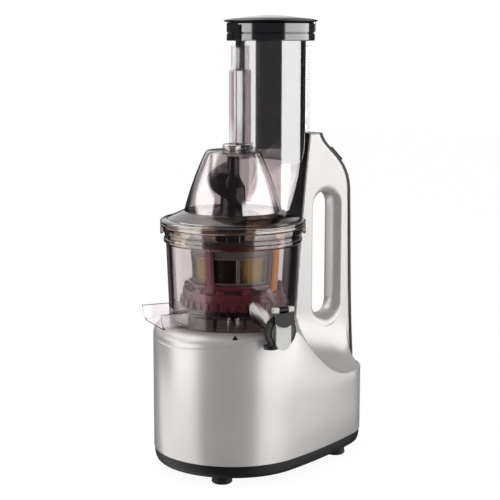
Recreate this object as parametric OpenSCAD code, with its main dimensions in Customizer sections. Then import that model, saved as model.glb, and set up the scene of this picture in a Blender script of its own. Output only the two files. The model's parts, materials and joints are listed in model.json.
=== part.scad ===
// Vertical slow juicer: silver motor base with a handle column, smoked bowl and hopper.
// The front faces -Y and the table top is Z = 0. The modules draw about the bowl axis, and in_frame()
// moves each of them so that the origin is the middle of the finished outline.

/* [Base] */
// Radius of the round front of the base
base_front_r = 86; // [80:1:95]
// Radius of the rounded rear of the base
base_rear_r = 59; // [50:1:66]
// Distance from the bowl axis to the centre of the rear rounding
base_rear_y = 108; // [100:1:118]
// Radius of the long side curves of the base
base_side_r = 600; // [400:10:900]
// Height of the rubber feet
foot_h = 9; // [6:0.5:14]
// Radius of a rubber foot
foot_r = 11; // [8:0.5:13]
// Height of the black base plate's rim
rim_h = 14; // [10:0.5:18]
// Wall of the moulded housings
wall = 3; // [2:0.25:4]
// Height of the housing seam at the very front
seam_front_z = 143; // [138:0.5:148]
// Height of the housing seam at the sides of the bowl
seam_side_z = 158.5; // [152:0.5:159.5]
// Height of the housing seam at the rear
seam_rear_z = 95; // [88:1:104]
// Height of the deck that the bowl stands on
deck_z = 160; // [160:0.5:166]
// Radius of that deck
deck_r = 70; // [69:0.5:74]

/* [Column] */
// Thickness of the handle column, side to side
col_w = 28; // [24:1:34]
// Height of the column's flat top
col_top_z = 357; // [350:1:359]
// Width of the black strips down the column's front and rear
strip_w = 25; // [14:1:26]
// Width of the hand hole, front to rear
hand_w = 36; // [30:1:38]
// Height of the hand hole
hand_h = 138; // [110:1:156]
// Distance from the bowl axis to the middle of the hand hole
hand_y = 122; // [120:0.5:124]
// Height of the middle of the hand hole
hand_z = 221; // [214:1:224]

/* [Bowl] */
// Radius of the bowl at its foot
bowl_foot_r = 68; // [66:0.5:69]
// Radius of the bowl under its collar
bowl_top_r = 71.5; // [70:0.5:73]
// Wall of the bowl
bowl_wall = 2.6; // [2:0.1:3.2]
// Depth of the bowl from its foot to its rim
bowl_h = 102; // [96:1:108]
// Radius of the bowl's collar
collar_r = 74; // [73:0.5:76]
// Outside width of the pulp tray
tray_w = 60; // [50:1:64]
// How far the pulp tray stands out past the round front of the base
tray_overhang = 7; // [3:0.5:12]
// Height of the pulp tray's walls
tray_h = 17; // [12:1:20]
// Direction of the pulp tray, degrees from the front towards +X
tray_dir = -15; // [-25:1:0]
// Outside radius of the juice spout
spout_r = 12.5; // [11:0.5:13.5]
// Direction of the juice spout, degrees from the front towards +X
spout_dir = 80; // [70:1:90]
// Slope of the juice spout below level
spout_slope = 30; // [22:1:34]
// How far the juice spout's end stands out past the front of the base
spout_overhang = 12; // [8:0.5:16]

/* [Hopper] */
// Outside radius of the feed tube
tube_r = 37.5; // [35:0.5:39]
// Wall of the feed tube and hopper
tube_wall = 2.5; // [2:0.1:3]
// Distance from the bowl axis to the feed tube's axis
tube_y = 51; // [48:0.5:51]
// Height of the feed tube's mouth
tube_top_z = 474; // [465:1:480]
// Radius of the hopper's rim
rim_r = 77.5; // [76.5:0.5:78]
// Radius of the auger dome at its foot
dome_foot_r = 52; // [50:0.5:54]
// Radius of the auger dome at its flat top
dome_top_r = 29; // [27:0.5:31]
// Height of the auger dome's flat top
dome_top_z = 343; // [340:0.5:346]
// Radius of the black collar around the feed tube's mouth
mouth_r = 47; // [44:0.5:49]
// Height of that collar
mouth_h = 20; // [16:1:24]
// Radius of the collar lid's lip
lip_r = 50; // [48:0.5:52]

/* [Squeezing set] */
// Outside radius of the strainer at its top
strainer_top_r = 46; // [45:0.5:47]
// Outside radius of the strainer at its foot
strainer_foot_r = 42; // [41.5:0.5:43]
// Radius over the auger's flights at the bottom
auger_r = 37; // [34:0.5:38]
// Radius over the auger's flights at the top
auger_top_r = 28; // [24:0.5:29]
// Width across the flats of the hexagonal drive shaft
hex_af = 12; // [10:0.5:13]
// Tooth module of the gears in the bowl
bowl_gear_m = 1.5; // [1.4:0.05:1.55]

/* [Drive] */
// Radius of the motor's laminated stator
stator_r = 44; // [40:1:48]
// Length of the stator stack
stator_h = 44; // [36:1:48]
// Tooth module of the reduction gears
gear_m = 1; // [0.9:0.05:1.1]
// Face width of the reduction gears
gear_w = 10; // [8:0.5:11]

/* [Hidden] */
$fn = 96;

// The bowl axis in the finished frame
axis_x = -12.8;
axis_y = -36.8;
module in_frame() translate([axis_x, axis_y, 0]) children();

// Clearances
gap = 0.3;          // between parts that come apart
run = 0.05;         // radial clearance of a running shaft
eps = 0.02;         // cutters reach this far past a face

// Heights of the base
plate_z = foot_h;
body_z = plate_z + rim_h;
plate_t = 3;
half_w = col_w / 2;
bowl_z = deck_z + gap;
rim_z = bowl_z + bowl_h;
collar_h = 16;

// ---- Plan of the base: three pairs of arcs, inset by d ----
side_a = base_side_r - base_front_r;
side_b = base_side_r - base_rear_r;
side_cy = (pow(base_rear_y, 2) + pow(side_a, 2) - pow(side_b, 2)) / (2 * base_rear_y);
side_cx = -sqrt(pow(side_a, 2) - pow(side_cy, 2));
ang_front = atan2(-side_cy, -side_cx);
ang_rear = atan2(base_rear_y - side_cy, -side_cx);
n_front = 18;
n_side = 14;
n_rear = 14;
function arc(c, r, a0, a1, n) = [for (i = [0:n - 1]) c + r * [cos(a0 + (a1 - a0) * i / n),
    sin(a0 + (a1 - a0) * i / n)]];
function plan_half(d) = concat(arc([0, 0], base_front_r - d, -90, ang_front, n_front),
    arc([side_cx, side_cy], base_side_r - d, ang_front, ang_rear, n_side),
    arc([0, base_rear_y], base_rear_r - d, ang_rear, 90, n_rear),
    [[0, base_rear_y + base_rear_r - d]]);
n_half = n_front + n_side + n_rear + 1;
function mirrored(half) = concat(half, [for (i = [len(half) - 2:-1:1]) [-half[i][0], half[i][1]]]);
function plan(d) = mirrored(plan_half(d));
base_rear = base_rear_y + base_rear_r;

// ---- Height of the housing seam along Y ----
seam_crest_y = 18;
seam_foot_y = 125;
seam_bend = 0.62;
function seam_z(y) = y < seam_crest_y
    ? seam_front_z + (seam_side_z - seam_front_z)
        * sin(90 * (y + base_front_r) / (seam_crest_y + base_front_r))
    : seam_rear_z + (seam_side_z - seam_rear_z)
        * (1 + cos(180 * pow(min(1, (y - seam_crest_y) / (seam_foot_y - seam_crest_y)), seam_bend))) / 2;

// ---- Shoulder: from the plan at the seam in to the deck and the column's flanks ----
turn_y = 85;                         // where the shoulder leaves the deck for the column
flank_a = acos(half_w / deck_r);     // direction at which the deck meets the flank
col_rear_y = 160;
flank_top_z = 150;
shoulder_n = 7;
function lerp(a, b, t) = a + (b - a) * t;
function clamp(v) = max(0, min(1, v));
function deck_dir(y) = lerp(atan2(seam_crest_y, sqrt(pow(deck_r, 2) - pow(seam_crest_y, 2))),
    flank_a, clamp((y - seam_crest_y) / (turn_y - seam_crest_y)));
function inner_pt(p, d) = p[1] <= seam_crest_y
    ? let (a = atan2(p[1], p[0]), b = atan2(seam_crest_y, sqrt(pow(deck_r, 2) - pow(seam_crest_y, 2))),
           c = atan2(seam_crest_y, base_front_r - 3))
        concat((deck_r - d) * [cos(lerp(-90, b, (a + 90) / (c + 90))),
            sin(lerp(-90, b, (a + 90) / (c + 90)))], [deck_z])
    : p[1] < turn_y
        ? concat((deck_r - d) * [cos(deck_dir(p[1])), sin(deck_dir(p[1]))], [deck_z])
        : let (t = (p[1] - turn_y) / (base_rear - turn_y))
            [min(half_w - d, 0.5 * p[0]), lerp(deck_r * sin(flank_a), col_rear_y - d, t),
             lerp(deck_z, flank_top_z, t)];
function shoulder_pt(p, d, t) = let (q = inner_pt(p, d), s = seam_z(p[1]), c = clamp((p[1] - 15) / 55),
    fx = lerp(1 - cos(90 * t), sin(90 * t), c), fz = lerp(sin(90 * t), 1 - cos(90 * t), c))
    [lerp(p[0], q[0], fx), lerp(p[1], q[1], fx), lerp(s, q[2], fz)];
function shoulder_ring(d, t) = let (h = [for (p = plan_half(d)) shoulder_pt(p, d, t)])
    concat(h, [for (i = [n_half - 2:-1:1]) [-h[i][0], h[i][1], h[i][2]]]);

// Closed skin over rings that are mirror images left and right
module ring_loft(rings) {
    m = len(rings[0]);
    k = len(rings);
    h = m / 2;
    pts = [for (r = rings) each r];
    sides = [for (j = [0:k - 2], i = [0:m - 1], t = [0, 1])
        let (a = j * m + i, b = j * m + (i + 1) % m)
            t == 0 ? [a, a + m, b] : [b, a + m, b + m]];
    caps = [for (j = [0, k - 1], i = [0:h - 1])
        let (r0 = j * m + i, r1 = j * m + i + 1,
             l0 = j * m + (m - i) % m, l1 = j * m + m - i - 1,
             f = i == 0 ? [r0, r1, l1] : i == h - 1 ? [r0, r1, l0] : [r0, r1, l1, l0])
            j == 0 ? f : [for (n = [len(f) - 1:-1:0]) f[n]]];
    polyhedron(points = pts, faces = concat(sides, caps), convexity = 6);
}
module shoulder(d) ring_loft([for (j = [0:shoulder_n]) shoulder_ring(d, j / shoulder_n)]);

// ---- Side profile of the column ----
function bezier(a, b, c, d, n) = [for (i = [0:n]) let (t = i / n)
    pow(1 - t, 3) * a + 3 * t * pow(1 - t, 2) * b + 3 * t * t * (1 - t) * c + pow(t, 3) * d];
col_front_foot_y = 77;
col_front_lean = 11;
col_front_bow = 8.5;
function front_y(z) = let (s = (z - 152) / (col_top_z - 152))
    col_front_foot_y + col_front_lean * s + col_front_bow * s * abs(s);
front_line = [for (i = [0:12]) let (z = lerp(130, col_top_z, i / 12)) [front_y(z), z]];
col_back_y = 115;
rear_line = concat(
    bezier([col_back_y, col_top_z], [120, 338], [156, 330], [158, 292], 12),
    [for (p = bezier([158, 292], [160, 225], [160, 165], [165, 100], 8)) if (p[1] < 291) p]);
strip_t = 3;
proud = 1.2;         // front strip, past the housing
rear_proud = 2.6;    // rear strip, past the housing
// the column's outline, inset by f in front and by r behind
function inset(line, dy, dz) = [for (p = line) p + [dy, dz]];
module col_side(f, r, top) {
    polygon(concat(inset(front_line, f, -top), inset(rear_line, -r, -top)));
}
module along_x(w) rotate([90, 0, 90]) linear_extrude(w, center = true) children();
module hand_shape(r) {
    translate([hand_y, hand_z]) {
        square([2 * r, hand_h - hand_w], center = true);
        for (s = [-1, 1]) translate([0, s * (hand_h - hand_w) / 2]) circle(r);
    }
}
// one end of the hand hole, opening out by e
module hand_flare(e) {
    r = hand_w / 2;
    for (s = [-1, 1]) translate([0, hand_y, hand_z + s * (hand_h - hand_w) / 2])
        rotate([0, 90, 0]) cylinder(r1 = r, r2 = r + e, h = e);
    translate([0, hand_y, hand_z - (hand_h - hand_w) / 2])
        linear_extrude(hand_h - hand_w) polygon([[0, -r], [e, -r - e], [e, r + e], [0, r]]);
}

// ---- Involute gears ----
pa = 20;
function inv(a) = tan(a) * 180 / PI - a;
function tooth_a(r, rb, n, slack) = 90 / n + inv(pa) - inv(acos(min(1, rb / r))) - slack;
function gear_pts(n, m, add, ded, slack) = let (rp = n * m / 2, rb = rp * cos(pa), r0 = rp - ded,
    r1 = rp + add, rs = [r0, max(r0, rb + 0.001), lerp(max(r0, rb), r1, 0.5), r1])
    [for (i = [0:n - 1]) each concat(
        [for (r = rs) let (a = 360 * i / n - tooth_a(r, rb, n, slack)) r * [cos(a), sin(a)]],
        [for (k = [3:-1:0]) let (r = rs[k], a = 360 * i / n + tooth_a(r, rb, n, slack))
            r * [cos(a), sin(a)]])];
slack_mm = 0.12;
module gear_2d(n, m, turn) rotate(turn)
    polygon(gear_pts(n, m, m, 1.25 * m, slack_mm / (n * m / 2) * 180 / PI));
module ring_space_2d(n, m, turn) rotate(turn)
    polygon(gear_pts(n, m, 1.25 * m, m, -slack_mm / (n * m / 2) * 180 / PI));

// ---- Base ----
foot_spots = [[44, -49], [-44, -49], [42, 112], [-42, 112]];
front_boss_x = sqrt(pow(base_front_r, 2) - pow(28, 2)) - 15.3;
boss_spots = [[front_boss_x, -28], [-front_boss_x, -28], [46, 122], [-46, 122]];
foot_stud_r = 4;
module base_plate() color([0.09, 0.09, 0.1]) difference() {
    union() {
        difference() {
            hull() {
                translate([0, 0, plate_z]) linear_extrude(1) polygon(plan(4));
                translate([0, 0, body_z - 2]) linear_extrude(2) polygon(plan(0.6));
            }
            translate([0, 0, plate_z + plate_t]) linear_extrude(rim_h) polygon(plan(7));
        }
        for (p = motor_spots) translate([p[0], p[1], plate_z]) cylinder(r = 7, h = 7);
        for (p = foot_spots) translate([p[0], p[1], plate_z]) cylinder(r = 7, h = 9);
        for (p = boss_spots) translate([p[0], p[1], plate_z]) cylinder(r = 5, h = rim_h);
    }
    for (p = foot_spots) translate([p[0], p[1], plate_z - eps]) cylinder(r = foot_stud_r + run, h = 8);
    for (p = boss_spots) translate([p[0], p[1], plate_z - 1]) {
        cylinder(r = 1.9, h = rim_h + 2);
        cylinder(r = 4.2, h = 4);
    }
}

module feet() color([0.06, 0.06, 0.06]) for (p = foot_spots) translate([p[0], p[1], 0]) {
    rotate_extrude() polygon([[0, 0], [foot_r - 1.5, 0], [foot_r, 1.5], [foot_r - 0.8, foot_h - 0.1],
        [0, foot_h - 0.1]]);
    translate([0, 0, foot_h - 0.2]) cylinder(r = foot_stud_r, h = 7);
}

screw_len = 16;
module base_screws() color([0.7, 0.7, 0.72]) for (p = boss_spots) translate([p[0], p[1], 0]) {
    translate([0, 0, plate_z + 0.5]) cylinder(r = 3.6, h = 2.4);
    translate([0, 0, plate_z + 2.8]) cylinder(r = 1.7, h = screw_len);
}

// cable entry low on the housing's rear
gland_z = 36;
gland_r = 6;
module cord_gland() color([0.07, 0.07, 0.07]) translate([0, base_rear - wall - 4, gland_z])
    rotate([-90, 0, 0]) difference() {
        union() {
            cylinder(r = gland_r, h = wall + 6);
            cylinder(r = gland_r + 2.5, h = 3.1);
            translate([0, 0, wall + 4.2]) cylinder(r = gland_r + 1.5, h = 4);
        }
        translate([0, 0, -1]) cylinder(r = 3.5, h = wall + 12);
    }

module lower_housing() color([0.74, 0.74, 0.76]) difference() {
    union() {
        difference() {
            translate([0, 0, body_z]) linear_extrude(deck_z) difference() {
                polygon(plan(0));
                polygon(plan(wall));
            }
            along_x(4 * base_front_r) polygon(concat([[-2 * deck_z, 2 * deck_z]],
                [[-2 * deck_z, seam_front_z]], [for (p = plan_half(0)) [p[1], seam_z(p[1]) - 0.15]],
                [[2 * deck_z, seam_rear_z], [2 * deck_z, 2 * deck_z]]));
        }
        // screw bosses and the ribs that tie them to the wall
        for (p = boss_spots) translate([p[0], p[1], body_z]) cylinder(r = 4.8, h = 20);
        for (p = boss_spots) intersection() {
            translate([p[0] + sign(p[0]) * 7, p[1], body_z + 10]) cube([15, 3, 20], center = true);
            translate([0, 0, body_z]) linear_extrude(22) polygon(plan(wall / 2));
        }
    }
    for (p = boss_spots) translate([p[0], p[1], body_z - 1]) cylinder(r = 1.7, h = screw_len);
    translate([0, base_rear - 10, gland_z]) rotate([-90, 0, 0]) cylinder(r = gland_r, h = 20);
}

// ---- Upper housing with the handle column ----
shaft_r = 8;
switch_y = 140;
switch_z = 330.5;
switch_tilt = 42;
module at_switch() translate([0, switch_y, switch_z]) rotate([-switch_tilt, 0, 0]) children();
module upper_housing() color([0.78, 0.78, 0.8]) difference() {
    union() {
        shoulder(0);
        along_x(col_w) col_side(0, rear_proud, 0);
    }
    // hollow under the deck and inside the column
    translate([0, 0, -wall]) shoulder(wall);
    along_x(col_w - 2 * wall) difference() {
        col_side(strip_t + 3, strip_t + 5, wall);
        hand_shape(hand_w / 2 + 7);
    }
    along_x(2 * col_w) hand_shape(hand_w / 2);
    for (m = [0, 1]) mirror([m, 0, 0]) translate([half_w - 4, 0, 0]) hand_flare(4 + eps);
    // grooves for the strips
    along_x(strip_w + 0.2) polygon(concat(inset(front_line, -5, eps),
        [for (i = [12:-1:0]) front_line[i] + [strip_t - proud + 0.1, eps]]));
    along_x(strip_w + 0.2) polygon(concat(inset(rear_line, 6, 6),
        [for (i = [len(rear_line) - 1:-1:0]) rear_line[i] - [strip_t + 0.1, strip_t - 0.4]]));
    // shaft passage, switch pocket
    translate([0, 0, deck_z - 30]) cylinder(r = shaft_r + 10.2, h = 50);
    at_switch() translate([0, 0, -8]) cube([15.2, 21.2, 30], center = true);
}

strip_foot_z = 172;
module column_front_cover() color([0.05, 0.05, 0.055]) along_x(strip_w) intersection() {
    polygon(concat(inset(front_line, -proud * 0.4, -0.05),
        [for (i = [12:-1:0]) front_line[i] + [strip_t - proud, -0.05]]));
    translate([0, strip_foot_z]) square([300, 300]);
}
module column_rear_cover() color([0.05, 0.05, 0.055]) difference() {
    along_x(strip_w) polygon(concat(rear_line,
        [for (i = [len(rear_line) - 1:-1:0]) rear_line[i] - [strip_t, strip_t - 0.6]]));
    at_switch() cube([15.2, 21.2, 30], center = true);
}

// rocker housing set into the rear slope
module switch_housing() color([0.12, 0.12, 0.13]) at_switch() difference() {
    translate([0, 0, -2.5]) cube([15, 21, 12], center = true);
    translate([0, 0, 1]) cube([11, 17, 12], center = true);
    rotate([0, 90, 0]) cylinder(r = 1.25, h = 14, center = true);
}
module control_switch() color([0.5, 0.5, 0.52]) at_switch() {
    difference() {
        translate([0, 0, 1.5]) cube([10.6, 16, 5.6], center = true);
        for (s = [-1, 1]) translate([0, s * 9.6, 8.6]) rotate([0, 90, 0]) cylinder(r = 7, h = 12, center = true);
    }
    rotate([0, 90, 0]) cylinder(r = 1.2, h = 13.6, center = true);
}

// ---- Motor and gears ----
motor_spots = [[33, 33], [-33, 33], [33, -33], [-33, -33]];
stator_z = 34;
rotor_r = 23;
motor_r = stator_r + 3;
frame_z = plate_z + 11;
frame_top_z = stator_z + stator_h + 22;
case_z = frame_top_z + 4.3;
motor_shaft_r = 4;
module motor_mounts() color([0.1, 0.1, 0.1]) for (p = motor_spots)
    translate([p[0], p[1], plate_z + 7]) difference() {
        cylinder(r = 6, h = 4);
        translate([0, 0, -1]) cylinder(r = 2, h = 6);
    }

module motor_bell(z, t) translate([0, 0, z]) difference() {
    cylinder(r = motor_r, h = t);
    translate([0, 0, -1]) cylinder(r = 9, h = t + 2);
    for (a = [0:45:315]) rotate(a) translate([30, 0, -1]) cylinder(r = 6, h = t + 2);
}
module motor_frame() color([0.68, 0.69, 0.7]) {
    motor_bell(frame_z, 4);
    motor_bell(frame_top_z, 4);
    for (z = [frame_z, frame_top_z - 4]) translate([0, 0, z]) difference() {
        cylinder(r = 11.5, h = 8);
        translate([0, 0, -1]) cylinder(r = 9, h = 10);
    }
    for (a = [0:90:270]) rotate(a) translate([motor_r - 1.7, 0, frame_z]) cylinder(r = 1.6, h = frame_top_z - frame_z);
}
module motor_bearings() color([0.75, 0.75, 0.78]) for (z = [frame_z, frame_top_z - 3]) translate([0, 0, z])
    difference() {
        cylinder(r = 9 - 0.02, h = 7);
        translate([0, 0, -1]) cylinder(r = motor_shaft_r + run, h = 9);
    }
module motor_stator() color([0.45, 0.45, 0.47]) translate([0, 0, stator_z]) difference() {
    cylinder(r = stator_r, h = stator_h);
    translate([0, 0, -1]) cylinder(r = rotor_r + 0.6, h = stator_h + 2);
    for (a = [0:30:330]) rotate(a) translate([31, 0, -1]) cylinder(r = 3.5, h = stator_h + 2);
    for (a = [0:90:270]) rotate(a) translate([motor_r - 1.7, 0, -1]) cylinder(r = 1.9, h = stator_h + 2);
}
module motor_windings() color([0.7, 0.38, 0.16]) {
    for (z = [stator_z - 8, stator_z + stator_h + 0.1]) translate([0, 0, z]) difference() {
        cylinder(r = 37, h = 7.9);
        translate([0, 0, -1]) cylinder(r = 25, h = 10);
    }
    for (a = [0:30:330]) rotate(a) translate([31, 0, stator_z - 0.2]) cylinder(r = 3.4, h = stator_h + 0.4);
}
module rotor() color([0.5, 0.5, 0.52]) translate([0, 0, stator_z + 1]) difference() {
    cylinder(r = rotor_r, h = stator_h - 2);
    translate([0, 0, -1]) cylinder(r = motor_shaft_r, h = stator_h);
}
// two-step reduction; the second step brings the drive back onto the bowl axis
pinion_n = 16;
wheel_n = 64;
counter_y = -gear_m * (pinion_n + wheel_n) / 2;   // the counter shaft stands in front of the motor
step1_z = case_z + 4;
step2_z = step1_z + gear_w + 2;
case_top_z = step2_z + gear_w + 2;
module motor_shaft() color([0.8, 0.8, 0.82]) {
    translate([0, 0, frame_z + 0.5]) cylinder(r = motor_shaft_r - 0.001, h = step1_z - frame_z);
    translate([0, 0, step1_z]) linear_extrude(gear_w) gear_2d(pinion_n, gear_m, 0);
}
fan_z = frame_top_z - 12;
module motor_fan() color([0.2, 0.2, 0.22]) translate([0, 0, fan_z]) difference() {
    union() {
        cylinder(r = 9, h = 7);
        cylinder(r = 38, h = 1.4);
        for (a = [0:40:320]) rotate(a) translate([8, -0.8, 0]) cube([30, 1.6, 7]);
    }
    translate([0, 0, -1]) cylinder(r = motor_shaft_r, h = 9);
}
case_r = wheel_n * gear_m / 2 + 6;
module case_shape(r) {
    circle(r);
    translate([0, counter_y]) circle(r);
    translate([-r, counter_y]) square([2 * r, -counter_y]);
}
counter_shaft_r = 3.5;
module gearbox_case() color([0.72, 0.73, 0.74]) difference() {
    translate([0, 0, case_z]) linear_extrude(case_top_z - case_z) case_shape(case_r);
    translate([0, 0, step1_z - 0.4]) linear_extrude(50) case_shape(case_r - 3);
    translate([0, 0, case_z - 1]) cylinder(r = 9, h = 8);
    translate([0, counter_y, case_z + 0.8]) cylinder(r = 6, h = 8);
}
module gearbox_cover() color([0.76, 0.77, 0.78]) difference() {
    union() {
        translate([0, 0, case_top_z]) linear_extrude(4) case_shape(case_r);
        translate([0, 0, case_top_z]) cylinder(r = 17, h = deck_z - 5 - case_top_z);
    }
    translate([0, 0, case_top_z - 1]) cylinder(r = 14, h = deck_z);
    translate([0, counter_y, case_top_z - 1]) cylinder(r = 6, h = 4);
}
module gear_bushes() color([0.72, 0.55, 0.25]) for (z = [case_z + 0.8, case_top_z - 0.2])
    translate([0, counter_y, z]) difference() {
        cylinder(r = 5.98, h = 3);
        translate([0, 0, -1]) cylinder(r = counter_shaft_r + run, h = 5);
    }
module counter_gear() color([0.82, 0.8, 0.72]) translate([0, counter_y, 0]) {
    translate([0, 0, step1_z + 0.2]) linear_extrude(gear_w - 0.4) gear_2d(wheel_n, gear_m, 180 / wheel_n);
    translate([0, 0, step1_z + gear_w - 0.3]) linear_extrude(gear_w + 2) gear_2d(pinion_n, gear_m, 180 / pinion_n);
    translate([0, 0, case_z + 1]) cylinder(r = counter_shaft_r, h = case_top_z + 2.6 - case_z - 1);
}
module output_gear() color([0.84, 0.82, 0.74]) difference() {
    translate([0, 0, step2_z + 0.2]) linear_extrude(gear_w - 0.4) gear_2d(wheel_n, gear_m, 0);
    translate([0, 0, step2_z - 1]) cylinder(r = shaft_r, h = 20);
}
hex_r = hex_af / 2 / cos(30);
hex_h = 18;
module drive_shaft() color([0.82, 0.83, 0.85]) {
    translate([0, 0, step2_z + 0.2]) cylinder(r = shaft_r - 0.001, h = deck_z + 3 - step2_z);
    translate([0, 0, deck_z + 3]) cylinder(r = hex_r, h = bowl_gear_z + hex_h - deck_z - 3, $fn = 6);
}
module shaft_bearings() color([0.75, 0.75, 0.78]) for (z = [case_top_z + 0.5, deck_z - 15])
    translate([0, 0, z]) difference() {
        cylinder(r = 13.98, h = 7);
        translate([0, 0, -1]) cylinder(r = shaft_r + run, h = 9);
    }
module shaft_seal() color([0.15, 0.15, 0.15]) translate([0, 0, deck_z - 5]) difference() {
    cylinder(r = 18, h = 5);
    translate([0, 0, -1]) cylinder(r = shaft_r + 0.1, h = 7);
}

module control_board() color([0.1, 0.35, 0.2]) translate([0, 128, 0]) {
    translate([-28, -15, plate_z + plate_t + 6]) cube([56, 30, 1.6]);
    for (x = [-1, 1], y = [-1, 1]) translate([x * 24, y * 11, plate_z + plate_t]) cylinder(r = 3, h = 6.1);
    translate([-20, -8, plate_z + plate_t + 7.6]) cube([14, 12, 9]);
    translate([2, -9, plate_z + plate_t + 7.6]) cube([10, 16, 6]);
    translate([20, 4, plate_z + plate_t + 7.5]) cylinder(r = 4.5, h = 13);
}
module capacitor() color([0.25, 0.3, 0.45]) translate([0, 84, plate_z + plate_t]) {
    cylinder(r = 16, h = 46);
    for (s = [-1, 1]) translate([s * 6, 0, 45]) cylinder(r = 1.5, h = 7);
}
fin_w = 6;
module reed_switch() color([0.1, 0.25, 0.5]) translate([0, 104.6, col_top_z - wall - 3.2])
    cube([16, 4, 6], center = true);

// ---- Bowl ----
function bowl_r(z) = lerp(bowl_foot_r, bowl_top_r, clamp((z - bowl_z) / (rim_z - collar_h - bowl_z)));
floor_z = bowl_z + 12;
floor_t = 3;
hub_r = 15;
post_at = 26;
pulp_way_x = 38;
module out_dir(a) rotate(a - 90) children();
spout_root_r = 56;
spout_root_z = 191.2;
spout_reach = base_front_r + spout_overhang;
tray_reach = base_front_r + tray_overhang;
module along_spout(r, from, to) out_dir(spout_dir) translate([spout_root_r, 0, spout_root_z])
    rotate([0, 90 + spout_slope, 0]) translate([0, 0, from]) cylinder(r = r, h = to - from);
module bowl_solid(d) rotate_extrude() polygon([[0, bowl_z - eps], [bowl_foot_r - d, bowl_z - eps],
    [bowl_top_r - d, rim_z - collar_h], [bowl_top_r - d, rim_z + eps], [0, rim_z + eps]]);
module pulp_way(d) out_dir(tray_dir) translate([pulp_way_x + d, d - tray_w / 2 + 2, bowl_z + 1 + d])
    cube([60, tray_w - 4 - 2 * d, tray_h - 1 - d]);
module bowl() color([0.35, 0.32, 0.33, 0.45]) difference() {
    union() {
      rotate_extrude() polygon([
        [bowl_foot_r - bowl_wall - 1, bowl_z], [bowl_foot_r - 1.2, bowl_z], [bowl_foot_r, bowl_z + 1.2],
        [bowl_top_r, rim_z - collar_h - 0.5], [collar_r, rim_z - collar_h + 1.5], [collar_r, rim_z],
        [bowl_top_r - bowl_wall, rim_z], [bowl_foot_r - bowl_wall, floor_z + floor_t],
        [hub_r, floor_z + floor_t], [hub_r, floor_z + floor_t + 1], [10, floor_z + floor_t + 1],
        [10, floor_z], [bowl_foot_r - bowl_wall - 1, floor_z]]);
      // posts that carry the strainer and a rail that carries the cage
      for (a = [0, 90, 270]) rotate(a) translate([post_at, 0, floor_z + floor_t - eps])
          cylinder(r = 4, h = basket_z - floor_z - floor_t + eps);
      translate([0, 0, floor_z + floor_t - eps]) difference() {
          cylinder(r = 52, h = bowl_gear_z - gap - floor_z - floor_t + eps);
          translate([0, 0, -1]) cylinder(r = 49.5, h = 10);
      }
      intersection() {
          pulp_way(0);
          bowl_solid(0.5);
          translate([0, 0, floor_z / 2 + 1]) cube([200, 200, floor_z], center = true);
      }
    }
    along_spout(spout_r - 2.2, -8, 30);
    // way of the pulp through the floor and out of the wall
    pulp_way(2);
    translate(pinion_at) translate([0, 0, floor_z - 1]) cylinder(r = 3, h = 20);
}
module pulp_tray() color([0.85, 0.85, 0.88, 0.3]) difference() {
    out_dir(tray_dir) translate([52, 0, bowl_z + 1]) difference() {
        translate([0, -tray_w / 2, 0]) cube([tray_reach - 52, tray_w, tray_h]);
        translate([-1, 2 - tray_w / 2, 2]) cube([60, tray_w - 4, tray_h]);
        // rounded lower front edge
        for (s = [-1, 1]) translate([tray_reach - 52 - 8, s * (tray_w / 2 - 8), -1]) difference() {
            translate([0, s < 0 ? -8.1 : 0, 0]) cube([8.1, 8.1, 2.9]);
            cylinder(r = 8, h = 3);
        }
    }
    bowl_solid(-0.05);
}
module juice_spout() color([0.8, 0.78, 0.78, 0.35]) difference() {
    along_spout(spout_r, 0, 56);
    along_spout(spout_r - 2.2, -2, 60);
    bowl_solid(-0.05);
    out_dir(spout_dir) translate([spout_reach, -40, 100]) cube([60, 80, 200]);
}
module bowl_seal() color([0.75, 0.3, 0.2]) translate([0, 0, floor_z + floor_t + 1.05]) difference() {
    cylinder(r = 12.5, h = 2);
    translate([0, 0, -1]) cylinder(r = 9.3, h = 4);
}
module pulp_plug() color([0.2, 0.2, 0.2]) out_dir(tray_dir - 78) translate([44, 0, floor_z - 4.1])
    cylinder(r = 9, h = 4);
pinion_teeth = 16;
ring_teeth = 48;
pinion_c = bowl_gear_m * pinion_teeth;
pinion_at = [-pinion_c, 0, 0];
bowl_gear_z = floor_z + floor_t + 4;
bowl_gear_w = 8;
module pinion_post() color([0.8, 0.8, 0.82]) translate(pinion_at) {
    translate([0, 0, floor_z]) cylinder(r = 2.999, h = bowl_gear_z + bowl_gear_w + 1.5 - floor_z);
    translate([0, 0, floor_z + floor_t]) cylinder(r = 5, h = bowl_gear_z - floor_z - floor_t - 0.2);
}

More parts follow.
